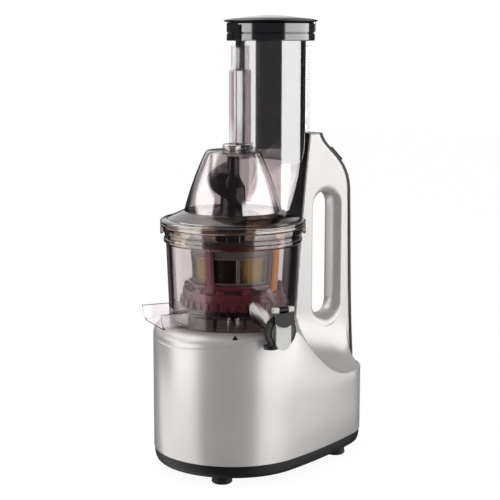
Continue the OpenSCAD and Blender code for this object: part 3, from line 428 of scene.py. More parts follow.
NODE_SLOT = {s["node"]: s["material_slot"] for s in frame["record"]["subparts"]}
for name, o in NODE.items():
    shade(paint(o, SLOT_MAT[NODE_SLOT[name]]), 32)
for name in ("cap_body", "cap_cover", "column_front_cover", "column_rear_cover", "feed_lid"):
    NODE[name].data.materials[0] = M_CAP


# -------------------- the base's plan, seam and shoulder
FRONT_R, REAR_R, REAR_Y, SIDE_R = 86.0, 59.0, 108.0, 600.0
BODY_Z, DECK_Z, DECK_R, HALF_W = 23.0, 160.0, 70.0, 14.0      # HALF_W is half the column's width
SEAM_F, SEAM_S, SEAM_R, CREST_Y = 143.0, 158.5, 95.0, 18.0    # seam heights in front, at its crest, behind
SEAM_LOW_Y, SEAM_SWEEP, SEAM_GAP = 125.0, 0.62, 0.15
FLANK_Y, SHOULDER_REAR = 85.0, (160.0, 150.0)      # where the column leaves the deck; the rear end as (y, z)
CREASE_Y, CREASE_RUN, SHOULDER_STEPS = 15.0, 55.0, 24         # the shoulder turns hollow over CREASE_RUN
# the bottom plate's section as (inset, height), from under the housing down to its underside
BASE_SECTION = ((9, 22.6), (0.6, 22.9), (0.65, 21.5), (0.9, 18), (1.6, 14), (2.8, 11), (4.4, 9.6), (7, 9.05),
                (40, 9.05))
side_a, side_b = SIDE_R - FRONT_R, SIDE_R - REAR_R
side_cy = (REAR_Y ** 2 + side_a ** 2 - side_b ** 2) / (2 * REAR_Y)
side_cx = -sqrt(side_a ** 2 - side_cy ** 2)
ang_front = atan2(-side_cy, -side_cx)
ang_rear = atan2(REAR_Y - side_cy, -side_cx)


def arc(cx, cy, r, a0, a1, n):
    return [(cx + r * cos(a), cy + r * sin(a)) for a in [a0 + (a1 - a0) * i / n for i in range(n)]]


def plan_half(d=0):
    """The right half of the base's outline, d inside its edge, from the front to the rear."""
    return (arc(0, 0, FRONT_R - d, -pi / 2, ang_front, 54)
            + arc(side_cx, side_cy, SIDE_R - d, ang_front, ang_rear, 42)
            + arc(0, REAR_Y, REAR_R - d, ang_rear, pi / 2, 42) + [(0, REAR_Y + REAR_R - d)])


def mirrored(half):
    return half + [(-p[0], *p[1:]) for p in half[-2:0:-1]]


def seam_z(y):
    """The height of the S-shaped seam between the housings."""
    if y < CREST_Y:
        return SEAM_F + (SEAM_S - SEAM_F) * sin(pi / 2 * (y + FRONT_R) / (CREST_Y + FRONT_R))
    s = min(1.0, (y - CREST_Y) / (SEAM_LOW_Y - CREST_Y))
    return SEAM_R + (SEAM_S - SEAM_R) * (1 + cos(pi * s ** SEAM_SWEEP)) / 2


def seam_ring(d, down):
    """A ring round the base, d inside its outline and down below the seam."""
    return mirrored([(x, y, seam_z(y) - down) for x, y in plan_half(d)])


def inner_pt(x, y):
    """Where the shoulder ends that starts at (x, y): on the deck's edge, or behind it on the column."""
    crest = atan2(CREST_Y, sqrt(DECK_R ** 2 - CREST_Y ** 2))
    flank = acos(HALF_W / DECK_R)
    if y <= CREST_Y:
        start = atan2(CREST_Y, FRONT_R - 3)
        share = (atan2(y, x) + pi / 2) / (start + pi / 2)
        return polar(DECK_R, lerp(-pi / 2, crest, share), DECK_Z)
    if y < FLANK_Y:
        return polar(DECK_R, lerp(crest, flank, clamp((y - CREST_Y) / (FLANK_Y - CREST_Y))), DECK_Z)
    t = (y - FLANK_Y) / (REAR_Y + REAR_R - FLANK_Y)
    end_y, end_z = SHOULDER_REAR
    return (min(HALF_W, 0.5 * x), lerp(DECK_R * sin(flank), end_y, t), lerp(DECK_Z, end_z, t))


def shoulder_pt(x, y, t):
    """On the shoulder, from the seam at t = 0 to its inner end at 1: full in front, hollow at the column."""
    q = inner_pt(x, y)
    c = clamp((y - CREASE_Y) / CREASE_RUN)
    c = c * c * (3 - 2 * c)
    fx = lerp(1 - cos(pi / 2 * t), sin(pi / 2 * t), c)
    fz = lerp(sin(pi / 2 * t), 1 - cos(pi / 2 * t), c)
    return (lerp(x, q[0], fx), lerp(y, q[1], fx), lerp(seam_z(y), q[2], fz))


def bezier(*ends, n):
    """A plane curve from two end points and the two control points between them."""
    out = []
    for t in evenly(0, 1, n):
        shares = ((1 - t) ** 3, 3 * t * (1 - t) ** 2, 3 * t * t * (1 - t), t ** 3)
        out.append(tuple(sum(k * p[i] for k, p in zip(shares, ends)) for i in (0, 1)))
    return out


COL_TOP, COL_FOOT, COL_ROOT, COL_FRONT = 357.0, 152.0, 130.0, 77.0
COL_LEAN, COL_HOOK = 11.0, 8.5
REAR_PROUD, REAR_ROUND = 2.6, 3.6      # how far the black strip stands out, the corners' radius beside it
REAR_SLOPE = ((115, COL_TOP), (120, 338), (156, 330), (158, 292))      # control points as (y, z)
REAR_BACK = ((158, 292), (160, 225), (160, 165), (165, 100))


def front_y(z):
    """The column's front edge."""
    s = (z - COL_FOOT) / (COL_TOP - COL_FOOT)
    return COL_FRONT + COL_LEAN * s + COL_HOOK * s * abs(s)


front_line = [(front_y(z), z) for z in evenly(COL_ROOT, COL_TOP, 40)]
rear_line = bezier(*REAR_SLOPE, n=36) + [p for p in bezier(*REAR_BACK, n=24) if p[1] < REAR_BACK[0][1] - 1]


def make_lower_housing():
    """A wall from the base plate to the seam, with its inner edge 3 mm in."""
    rings = [mirrored([(x, y, BODY_Z + up) for x, y in plan_half(d)])
             for d, up in ((3, 0), (0.7, 0), (0.2, 0.2), (0, 0.8), (0, 30), (0, 60))]
    rings += [seam_ring(d, SEAM_GAP + down) for d, down in ((0, 0.9), (0.25, 0.25), (0.9, 0), (3, 0))]
    return put(skin("housing_lower", rings, M_SILVER, closed=True), "base", "silver_body", "lower_housing")


def make_base_rim():
    rings = [mirrored([(x, y, z) for x, y in plan_half(d)]) for d, z in BASE_SECTION]
    return put(skin("base_rim", rings, M_BASE, caps=True), "base", "black_base", "base_plate")


def stadium(r, z0, z1, y, n=20):
    """An upright slot's outline as (y, z), rounded with r at both ends."""
    turns = evenly(0, pi, n)
    up = [(y + r * cos(a), z1 - r + r * sin(a)) for a in turns]
    return up + [(y - r * cos(a), z0 + r - r * sin(a)) for a in turns]


HAND_Y, HAND_R, HAND_LOW, HAND_HIGH = 122.0, 18.0, 144.0, 294.0
WAIST_LOW, WAIST_HIGH, WAIST_SIDE, MOUTH_OUT = 9.0, 4.0, 1.0, 5.0


def hand_tool():
    """One cutter through the column for the hand hole: waisted halfway, widest at its rounded mouths."""
    inside = [-HALF_W * cos(a) for a in evenly(0, pi, 32)]
    rings = []
    for x in [-60, -HALF_W - 0.01, *inside, HALF_W + 0.01, 60]:
        s = clamp(abs(x) / HALF_W)
        e = 1 - sqrt(max(0.0, 1 - s * s))
        r = HAND_R + MOUTH_OUT * e - WAIST_SIDE * (1 - e)
        low = lerp(HAND_LOW + WAIST_LOW, HAND_LOW - MOUTH_OUT, e)
        high = lerp(HAND_HIGH - WAIST_HIGH, HAND_HIGH + MOUTH_OUT, e)
        rings.append([(x, y, z) for y, z in stadium(r, low, high, HAND_Y)])
    return skin("hand_tool", rings, M_SILVER, caps=True)


def hull_of(node):
    """The closed convex body round one CAD node, for cutting its seat."""
    src = NODE[node]
    bm = bmesh.new()
    for vert in src.data.vertices:
        bm.verts.new(src.matrix_world @ vert.co)
    spare = bmesh.ops.convex_hull(bm, input=bm.verts)["geom_interior"]
    bmesh.ops.delete(bm, geom=[g for g in spare if isinstance(g, bmesh.types.BMVert)], context="VERTS")
    me = bpy.data.meshes.new("hull")
    bm.to_mesh(me)
    bm.free()
    return link("hull", me)


def shoulder_solid():
    """The shoulder over the whole plan, closed below the seam and at the deck by strips across."""
    rings = [seam_ring(0.8, 6), seam_ring(0.6, 0)]
    rings += [mirrored([shoulder_pt(x, y, t) for x, y in plan_half()]) for t in evenly(0, 1, SHOULDER_STEPS)]
    v, f = rings_mesh(rings)
    n = len(rings[0])
    for base, top in ((0, False), ((len(rings) - 1) * n, True)):
        for i in range(n // 2):
            q = dict.fromkeys([base + i, base + i + 1, base + (n - i - 1) % n, base + (n - i) % n])
            f.append(tuple(q) if top else tuple(reversed(q)))
    return new_obj("shoulder_tmp", v, f, M_SILVER)


def column_solid(turn):
    """The handle column; four turns from 0 to 90 degrees together round its corners beside the rear strip."""
    t = radians(turn)
    w = HALF_W - REAR_ROUND * (1 - cos(t))
    back = REAR_PROUD + REAR_ROUND * (1 - sin(t))
    outline = front_line + [(y - back, z) for y, z in rear_line]
    return apply_mods(bevel(prism("column_tmp", outline, -w, w, M_SILVER), 1.2, angle=50))


VOXEL = 0.0013      # metres


def make_upper_housing():
    """Shoulder and column fused by a remesh, then cut for the hand and for the switch."""
    o = join("housing_upper", shoulder_solid(), *[column_solid(turn) for turn in (0, 30, 60, 90)])
    modify(o, "REMESH", mode="VOXEL", voxel_size=VOXEL, use_smooth_shade=True)
    modify(o, "LAPLACIANSMOOTH", iterations=3, lambda_factor=0.5, use_volume_preserve=True)
    boolean(apply_mods(o), "DIFFERENCE", hand_tool(), hull_of("switch_housing"))
    return put(shade(paint(o, M_SILVER), 60), "base", "silver_body", "upper_housing")


MARK_DIR, MARK_R, MARK_LONG, MARK_HALF, MARK_UP, MARK_DOWN = -36.4, 79.5, 7.0, 3.0, 0.2, 0.4


def make_mark(shell):
    """The small arrowhead printed on the shoulder in front of the bowl, laid on its curve row by row."""
    inv = shell.matrix_world.inverted()

    def on_shoulder(u, w):
        x, y, _ = turned(MARK_DIR, u, w, 0)
        above = Vector(((x + AX) * MM, (y + AY) * MM, 0.2))
        hit = shell.ray_cast(inv @ above, Vector((0, 0, -1)))[1] / MM
        return (hit.x - AX, hit.y - AY, hit.z)

    rings = []
    for t in evenly(0, 1, 8):
        wide = lerp(0.15, MARK_HALF, t)
        row = [on_shoulder(MARK_R + MARK_LONG * (t - 0.5), w) for w in evenly(-wide, wide, 4)]
        under = [(x, y, z - MARK_DOWN) for x, y, z in reversed(row)]
        rings.append([(x, y, z + MARK_UP) for x, y, z in row] + under)
    return put(skin("align_mark", rings, M_BASE, 30, caps=True), "base", "black_trim")


# -------------------- bowl, tray and spout
BOWL_Z, RIM_Z, FLOOR_Z, FLOOR_TOP = 160.3, 262.3, 172.3, 175.3
WALL_FOOT_R, WALL_TOP_R, COLLAR_R, WALL_T = 68.0, 71.5, 74.0, 2.6
POST_R, POST_TOP, POST_RING, RAIL_IN, RAIL_OUT, RAIL_TOP = 4.0, 193.2, 26.0, 49.5, 52.0, 179.0
TRAY_DIR, TRAY_W, TRAY_REACH, TRAY_H, TRAY_WALL, TRAY_STEPS = -15.0, 60.0, 93.0, 17.0, 1.9, 14
TRAY_LOW, TRAY_HIGH, TRAY_CLEAR = BOWL_Z + 1.1, BOWL_Z + 1 + TRAY_H, 28      # degrees from it without ribs
# the collar's darker glass on the foot edge below FOOT_EDGE is painted shade, a dark line along that edge
COLLAR_LOW, FOOT_EDGE = RIM_Z - 17.6, BOWL_Z + 1.4      # the collar's glass is above the one, below the other
WAY_HALF, WAY_LOW, WAY_HIGH = 26, 163.3, 177.3
SPOUT_DIR, SPOUT_R, SPOUT_IN_R = 80.0, 12.5, 10.3
ROOT_R, ROOT_Z, SPOUT_SLOPE, SPOUT_END = 56.0, 191.2, radians(30), 98.0
# (share of the spout's length, flare)
SPOUT_SKIN = ((0, 4.2), (0.03, 3.5), (0.08, 2.9), (0.16, 2.1), (0.28, 1.2), (0.45, 0.5), (0.7, 0), (0.97, 0),
              (1, -0.3))
SPOUT_BORE = ((1, 0.3), (0.97, 0), (0.7, 0), (0.45, 0.2), (0.16, 1.2), (0, 2.0))


def out_dir(deg, p):
    """A point given as (outwards, across, z), turned by degrees from the front towards +X."""
    return turned(deg - 90, *p)


def wall_r(z):
    """The bowl's outer radius."""
    return lerp(WALL_FOOT_R, WALL_TOP_R, clamp((z - BOWL_Z) / (RIM_Z - 16 - BOWL_Z)))


def spout_point(r, along, turn):
    """On the spout's skin: along its axis from the root, turned about it."""
    u, w = r * cos(turn), r * sin(turn)
    x = ROOT_R + along * cos(SPOUT_SLOPE) + u * sin(SPOUT_SLOPE)
    z = ROOT_Z - along * sin(SPOUT_SLOPE) + u * cos(SPOUT_SLOPE)
    return (x, w, z)


def spout_start(r, turn):
    """How far along the spout its skin leaves the bowl's wall, by halving."""
    lo, hi = 0.0, 40.0
    for _ in range(40):
        mid = (lo + hi) / 2
        x, w, z = spout_point(r, mid, turn)
        if hypot(x, w) < wall_r(z) + 0.1:
            lo = mid
        else:
            hi = mid
    return lo


def spout_ring(r, share, flare, n=64):
    ring = []
    for turn in full_turn(n):
        start = spout_start(r + flare, turn)
        end = (SPOUT_END - ROOT_R - r * cos(turn) * sin(SPOUT_SLOPE)) / cos(SPOUT_SLOPE)
        ring.append(out_dir(SPOUT_DIR, spout_point(r + flare, lerp(start, end, share), turn)))
    return ring


def make_spout():
    rings = [spout_ring(SPOUT_R, *p) for p in SPOUT_SKIN] + [spout_ring(SPOUT_IN_R, *p) for p in SPOUT_BORE]
    return put(skin("spout", rings, M_SPOUT, 45, closed=True), "bowl", "clear", "juice_spout")


def bowl_shell():
    """Wall, collar and floor in one section, cut for the pulp way and the spout."""
    foot, top, neck, floor = WALL_FOOT_R, WALL_TOP_R, COLLAR_R - 1.1, FLOOR_TOP
    in_r, seat = top - WALL_T, foot - WALL_T
    section = [(seat - 1, BOWL_Z), (foot - 0.6, BOWL_Z), (foot, BOWL_Z + 1.5), (foot + 0.2, BOWL_Z + 4),
               (top, RIM_Z - 17), (COLLAR_R, RIM_Z - 15.2), (COLLAR_R, RIM_Z - 12), (neck, RIM_Z - 11),
               (neck, RIM_Z - 7), (COLLAR_R, RIM_Z - 6), (COLLAR_R, RIM_Z), (in_r, RIM_Z), (in_r, RIM_Z - 17),
               (seat, floor), (15, floor), (15, floor + 1), (10, floor + 1), (10, FLOOR_Z),
               (seat - 1, FLOOR_Z)]
    rounding = [0.8, 0.8, 1, 1, 1.6, 1, 0.8, 0.6, 0.6, 0.8, 0.9, 0.9, 4, 3, 0.5, 0.5, 0.4, 0.5, 1]
    shell = revolve("bowl_shell", section, M_SMOKE, 144, r=rounding)
    mouth = fillet(rect(-WAY_HALF, WAY_HALF, WAY_LOW, WAY_HIGH), [4, 4, 1, 1])
    way = [[out_dir(TRAY_DIR, (u, v, z)) for v, z in mouth] for u in (40, 100)]
    bore = [[out_dir(SPOUT_DIR, spout_point(SPOUT_IN_R, along, turn)) for turn in full_turn(48)]
            for along in (-8, 30)]
    return boolean(shell, "DIFFERENCE", skin("way_tool", way, M_SMOKE, caps=True),
                   skin("bore_tool", bore, M_SMOKE, caps=True))


def foot_ribs():
    """Small stiffening ribs in the foot, under the floor, clear of the tray."""
    section = [(58, BOWL_Z + 0.4), (64.1, BOWL_Z + 0.4), (64.1, FLOOR_Z), (55, FLOOR_Z)]
    ribs = []
    for deg in [15 * k + 4 for k in range(24)]:
        if abs(deg - (TRAY_DIR + 270)) >= TRAY_CLEAR:
            ribs.append(prism("rib", section, -0.8, 0.8, M_SMOKE, lambda w, u, z: turned(deg, u, w, z)))
    return ribs


def make_bowl():
    """The shell with three posts and a rail on its floor; its collar has its own darker glass, which on the
    foot edge is painted shade, a dark line along it.
    """
    post = rect(0.01, POST_R, FLOOR_TOP, POST_TOP)
    rail = rect(RAIL_IN, RAIL_OUT, FLOOR_TOP, RAIL_TOP)
    parts = [bowl_shell()]
    for deg in (0, 90, 270):
        parts.append(revolve("post", post, M_SMOKE, 24, turned(deg, POST_RING, 0, 0)[:2], r=0.5))
    o = join("bowl_shell", *parts, revolve("rail", rail, M_SMOKE, 96, r=0.3), *foot_ribs())
    o.data.materials.append(M_COLLAR_AND_FOOT_SHADE)
    # the collar gets its darker glass, and the foot edge gets it as painted shade
    for poly in o.data.polygons:
        if not FOOT_EDGE * MM <= poly.center.z <= COLLAR_LOW * MM:
            poly.material_index = len(o.data.materials) - 1
    return put(shade(o, 40), "bowl", "smoke_clear", "bowl")


def tray_rings():
    """Sections of the tray from the bowl's wall to its free end, whose lower corners are drawn back."""
    w, t, z0, z1 = TRAY_W / 2, TRAY_WALL, TRAY_LOW, TRAY_HIGH
    sect = fillet([(-w, z1), (-w, z0), (w, z0), (w, z1), (w - t, z1), (w - t, z0 + t), (-w + t, z0 + t),
                   (-w + t, z1)], [0.6, 4.0, 4.0, 0.6, 0.6, 2.4, 2.4, 0.6], 5)
    rings = []
    for s in evenly(0, 1, TRAY_STEPS):
        ring = []
        for v, z in sect:
            root = sqrt(max(0.0, (wall_r(z) + 0.3) ** 2 - v * v))
            low = clamp((z0 + 9 - z) / 9)
            tip = TRAY_REACH - 0.1 - 7.5 * low ** 2 * clamp((abs(v) - w + 13) / 13) ** 2
            ring.append(out_dir(TRAY_DIR, (lerp(root, tip, s), v, z)))
        rings.append(ring)
    return rings


def make_tray():
    """An open channel with rounded corners; its lips and end faces have near-black glass, painted shade for
    the dark lines refraction draws along clear edges.
    """
    rings = tray_rings()
    n = len(rings[0])
    v, f = rings_mesh(rings)
    # end faces as strips between the outer and the inner run
    for base, root in ((0, True), (TRAY_STEPS * n, False)):
        for i in range(n // 2 - 1):
            q = (base + i, base + i + 1, base + n - 2 - i, base + n - 1 - i)
            f.append(q if root else tuple(reversed(q)))
    o = new_obj("tray", v, f, M_CLEAR, 45)
    # the lips and end faces get the near-black edge glass, painted shade
    o.data.materials.append(M_EDGE_SHADE)
    for poly in o.data.polygons:
        heights = [o.data.vertices[i].co.z for i in poly.vertices]
        lip = poly.center.z > (TRAY_HIGH - 0.9) * MM and max(heights) - min(heights) < MM
        if lip or poly.index >= TRAY_STEPS * n:
            poly.material_index = 1
    return put(o, "bowl", "clear", "pulp_tray")


# -------------------- squeezing set
BASKET_Z, BASKET_TOP, MESH_LOW, MESH_HIGH = 193.3, 251.0, 207.0, 232.0
STRAINER_FOOT_R, STRAINER_TOP_R, STRAINER_T = 42.0, 46.0, 2.2
GEAR_Z, GEAR_TOP, RING_R, BAR_TURN = 179.3, 187.3, 57.0, 14.0
# uprights between the strainer's bands, as (out from the wall, across)
BAR_SECTION = ((-STRAINER_T, -2), (-0.3, -2), (0.4, -1.2), (0.4, 1.2), (-0.3, 2), (-STRAINER_T, 2))
MESH_COLS, MESH_ROWS, MESH_IN, MESH_T = 216, 19, 0.9, 0.6
# number of teeth, and the radii of their feet and tips
AUGER_TEETH, OUTER_TEETH, INNER_TEETH = (16, 10.3, 13.3), (36, RING_R - 2.4, RING_R), (48, 37.9, 34.6)
GEAR_BORE, RING_COLLAR, RING_BORE, LUG_IN, LUG_OUT, LUG_R = 9.05, 54.0, 44.2, 49.2, 53.6, 50.0
LUG_SHAPE = ((8.5, 5.5), (9.5, 4.6), (13, 3.6), (13.6, 3.0))      # (height over the teeth, half width)
RIB_DIRS, WIPER_DIRS, WIPER_Z = (22, 112, 202, 292), (22, 112), 196.7
AUGER_R, AUGER_TOP_R, AUGER_TURN, AUGER_TOP = 37.0, 28.0, 6.0, 336.0
FLIGHT_Z, FLIGHT_H, FLIGHT_TWIST, FLIGHT_FADE = 196.3, 121.7, 520, 20
SECOND_TURN, SECOND_TOP = 180, 284


def basket_r(z, out=0.0):
    """The strainer's outer radius, and out more."""
    return lerp(STRAINER_FOOT_R, STRAINER_TOP_R, (z - BASKET_Z) / (BASKET_TOP - BASKET_Z)) + out


def toothed(n, r_low, r_high, share, phase, steps):
    """Radius around a ring with n teeth: r_high over share of each pitch, with sloping flanks."""
    out = []
    for i in range(steps):
        u = ((i / steps * n - phase / 360 * n) + 0.5) % 1.0 - 0.5
        out.append(lerp(r_low, r_high, clamp((share / 2 + 0.1 - abs(u)) / 0.12)))
    return out


def make_flight(start, top, n_slices):
    """One flight, narrowing upwards, with its end rounded off into the core."""
    mid, tip = AUGER_R * 0.62, AUGER_R - 1.2
    blade = fillet([(0, 7), (mid, 6.4), (tip, 2.6), (AUGER_R, 0), (tip, -2.2), (mid, -4.2), (0, -6)],
                   [0, 8, 1.5, 1, 1.5, 8, 0])
    rings = []
    for z in evenly(FLIGHT_Z + 0.5, top, n_slices):
        t = (z - FLIGHT_Z - 0.5) / FLIGHT_H
        end = clamp((z - top + FLIGHT_FADE) / FLIGHT_FADE)
        k = lerp(1, AUGER_TOP_R / AUGER_R, min(t, 1)) * lerp(0.2, 1, sqrt(max(0.0, 1 - end ** 2.4)))
        thick = 1 + 0.9 * end
        rings.append([turned(start - FLIGHT_TWIST * t, k * x, k * thick * y, z) for x, y in blade])
    return skin("flight", rings, M_AUGER, 50, caps=True)


def auger_core():
    low = GEAR_TOP - 0.2
    profile = [(9.0, low), (13, BASKET_Z), (14, FLIGHT_Z), (30, FLIGHT_Z), (28, FLIGHT_Z + 22),
               (20, FLIGHT_Z + 55), (13.5, FLIGHT_Z + 85), (13, 304), (8.5, 312), (6, 318), (6, AUGER_TOP),
               (0.01, AUGER_TOP), (0.01, low)]
    return revolve("core", profile, M_AUGER, 72, r=1.5)


def auger_gear(steps=768):
    teeth, hub = toothed(*AUGER_TEETH, 0.36, 0, steps), [GEAR_BORE] * steps
    rings = [wavy(teeth, GEAR_Z, -0.4), wavy(teeth, GEAR_Z + 0.4), wavy(teeth, GEAR_TOP - 0.4),
             wavy(teeth, GEAR_TOP, -0.4), wavy(hub, GEAR_TOP), wavy(hub, GEAR_Z)]
    return skin("gear", rings, M_AUGER, 30, closed=True)


def make_auger():
    o = join("auger_screw", make_flight(AUGER_TURN, FLIGHT_Z + FLIGHT_H + 14, 220),
             make_flight(AUGER_TURN + SECOND_TURN, SECOND_TOP, 150), auger_core(), auger_gear())
    return put(shade(o, 50), "auger", "auger_black", "auger")


def strainer_bands():
    """The solid bands above and below the mesh, each with its ribs."""
    r, t, z0, z1, z2, z3 = basket_r, STRAINER_T, BASKET_Z, MESH_LOW, MESH_HIGH, BASKET_TOP
    high = [(r(z2, -t), z2), (r(z2, 0.9), z2), (r(z2, 0.9), z2 + 2), (r(z2 + 3), z2 + 3), (r(z3 - 4), z3 - 4),
            (r(z3 - 3, 0.9), z3 - 3), (r(z3, 0.9), z3), (r(z3, -t), z3)]
    low = [(16, z0), (r(z0), z0), (r(z1 - 3), z1 - 3), (r(z1, 0.9), z1 - 2), (r(z1, 0.9), z1),
           (r(z1, -t), z1), (r(z0 + 2, -t), z0 + 2), (16, z0 + 2)]
    return [revolve("band", fillet(section, 0.5, 3), M_RING) for section in (high, low)]


def strainer_bar(deg):
    rings = []
    for z in evenly(MESH_LOW - 0.5, MESH_HIGH + 0.5, 6):
        section = [(basket_r(z, out), w) for out, w in BAR_SECTION]
        rings.append([polar(r, radians(deg) + w / r, z) for r, w in section])
    return skin("bar", rings, M_RING, 30, caps=True)


def make_strainer_frame():
    bars = [strainer_bar(45 * k + BAR_TURN) for k in range(8)]
    o = join("strainer_frame_looks", *strainer_bands(), *bars)
    return put(shade(o, 34), "bowl", "strainer_grey", "strainer_frame")


def is_hole(i, j):
    """Every third cell of every second row, shifted by one on every other such row."""
    return 0 < j < MESH_ROWS - 1 and j % 2 == 1 and (i + (j // 2) % 2) % 3 == 1


def make_mesh():
    """The perforated sheet: a grid with its holes left out, doubled to a thin shell."""
    verts, faces = [], []
    for side in (0, 1):
        for z in evenly(MESH_LOW, MESH_HIGH, MESH_ROWS):
            verts += circle(basket_r(z, -MESH_IN - MESH_T * side), z, MESH_COLS)
    inner = len(verts) // 2
    for i, j in [(i, j) for j in range(MESH_ROWS) for i in range(MESH_COLS) if not is_hole(i, j)]:
        a, b = j * MESH_COLS + i, j * MESH_COLS + (i + 1) % MESH_COLS
        c, d = b + MESH_COLS, a + MESH_COLS
        faces += [(a, b, c, d), tuple(inner + x for x in (d, c, b, a))]
        # walls of the holes, and of the sheet's two ends
        for di, dj, p, q in ((1, 0, b, c), (-1, 0, d, a), (0, 1, c, d), (0, -1, a, b)):
            if not 0 <= j + dj < MESH_ROWS or is_hole((i + di) % MESH_COLS, j + dj):
                faces.append((q, p, inner + p, inner + q))
    return put(new_obj("strainer_sheet", verts, faces, M_MESH, 40), "bowl", "mesh_amber", "strainer_mesh")


def cage_ring(steps=1440):
    """The cage's ring: teeth outside below, teeth inside, and a plain collar above."""
    teeth, inner = toothed(*OUTER_TEETH, 0.5, 2, steps), toothed(*INNER_TEETH, 0.42, 0, steps)
    top, bore = [RING_COLLAR] * steps, [RING_BORE] * steps
    z0, z1 = GEAR_Z, GEAR_TOP
    rings = [wavy(inner, z0), wavy(teeth, z0, -0.5), wavy(teeth, z0 + 0.5), wavy(teeth, z1 - 0.5),
             wavy(teeth, z1, -0.5), wavy(top, z1 + 0.3), wavy(top, z1 + 8.2), wavy(top, z1 + 9, -0.8),
             wavy(bore, z1 + 9, 0.6), wavy(bore, z1 + 8.4), wavy(bore, z1 + 0.2), wavy(inner, z1)]
    return skin("ring", rings, M_CAGE, 30, closed=True)


def cage_lug(deg):
    """An upstanding lug on the ring, narrower towards its top."""
    sections = [[polar(r, radians(deg) + w / LUG_R, GEAR_TOP + up) for r, w in rect(LUG_IN, LUG_OUT, -g, g)]
                for up, g in LUG_SHAPE]
    return apply_mods(bevel(skin("lug", sections, M_CAGE, 30, caps=True), 0.5, 2))


def upright(name, deg, sections, rounding, mat):
    """A bar along the strainer's wall at a direction, from (z, lean, corners as (across, radius))."""
    rings = []
    for z, lean, corners in sections:
        rings.append([turned(deg, r, w + lean, z) for w, r in fillet(corners, [0, rounding, rounding, 0], 3)])
    return skin(name, rings, mat, 40, caps=True)


def cage_rib(deg):
    low = GEAR_TOP + 8.5
    sections = []
    for z in evenly(low, BASKET_TOP - 5.2, 24):
        foot = exp(-(z - low) / 4.5)
        g, r0, r1 = 3.9 + 4.5 * foot, basket_r(z, 2.7), basket_r(z, 6.0 + 2.6 * foot)
        sections.append((z, 0, [(-g, r0), (-g, r1), (g, r1), (g, r0)]))
    return upright("rib", deg, sections, 1.2, M_CAGE)


def make_cage():
    parts = [cage_ring()] + [cage_lug(30 * k + 7) for k in range(12)]
    for z in (200, BASKET_TOP - 9):
        r0, r1 = basket_r(z, 2.7), basket_r(z, 5.6)
        hoop = [(r0, z), (r1, z), (r1 + 0.2, z + 4), (r0 + 0.2, z + 4)]
        parts.append(revolve("hoop", hoop, M_CAGE, r=0.7))
    o = join("cage", *parts, *[cage_rib(deg) for deg in RIB_DIRS])
    return put(shade(o, 36), "cage", "cage_maroon", "brush_cage")


def wiper(deg):
    """A blade that leans a little halfway up and spreads at its foot."""
    sections = []
    for t in evenly(0, 1, 30):
        z = lerp(WIPER_Z, BASKET_TOP - 9.2, t)
        g = 5.0 + 2.2 * exp(-(z - WIPER_Z) / 3.2)
        r0, r1 = basket_r(z, 6.25), basket_r(z, 8.9)
        sections.append((z, sin(pi * t), [(-g, r0), (-g * 0.8, r1), (g * 0.8, r1), (g, r0)]))
    return upright("blade", deg, sections, 0.8, M_WIPER)


def make_wipers():
    o = join("wipers", *[wiper(deg) for deg in WIPER_DIRS])
    return put(shade(o, 40), "cage", "wiper_orange", "wiper_blades")


# -------------------- hopper
TUBE_Y, TUBE_R, TUBE_T, TUBE_TOP = 51.0, 37.5, 2.5, 474.0
DOME_Z, DOME_TOP, DOME_R, DOME_TOP_R = 279.0, 343.0, 52.0, 29.0
HOP_R, CONE_Z, ELBOW_Z = 77.5, RIM_Z + 8, 352.0
# the tube's darker glass, painted shade, stops at this height; the chute's foot below keeps the dome's
# lighter glass
TUBE_SHADE_FOOT_Z = 329.0      # the chute has the dome's clearer glass below this height
FIN_TOP, CHANNEL_TOP, GROOVE_PITCH = 452.0, 427.0, 3.1
LUG_DIRS = (-128, -38, 52, 142)


def dome_solid(name, d, low):
    """The dome as a solid, d inside its skin and closed at low."""
    prof = [(0.01, low), (DOME_R - d, low), (DOME_R - d, DOME_Z)]
    for t in evenly(0, 1, 8)[1:]:
        r = lerp(DOME_R, DOME_TOP_R + 0.6, 0.69 * t + 0.31 * t * t)
        prof.append((r - d, lerp(DOME_Z, DOME_TOP - 2 - d / 2, t)))
    prof += [(DOME_TOP_R - 1.6 - d, DOME_TOP - d), (0.01, DOME_TOP - d)]
    return revolve(name, fillet(prof, [0, 0.5, 1] + [0] * 7 + [1.2, 1.6, 0]), M_SMOKE_DOME, 144)


def chute_solid(name, d, low, high):
    """The feed tube with its back swept forward on the way down into the dome."""
    n, r = 120, TUBE_R - d
    back = bezier((TUBE_Y + r, ELBOW_Z), (68 - d, ELBOW_Z - 7), (60 - d, 310), (46 - d, DOME_Z), n=20)
    rows = [(low, 44 - d)] if low < DOME_Z else []
    rows += [(z, y) for y, z in reversed(back) if z > low + 0.5]
    rings = [[(x, min(y, limit), z) for x, y, z in circle(r, z, n, 0, TUBE_Y)] for z, limit in rows]
    rings += [circle(r, z, n, 0, TUBE_Y) for z in (ELBOW_Z + 20, lerp(ELBOW_Z, high, 0.6), high)]
    return skin(name, rings, M_SMOKE_TUBE_SHADE, caps=True)


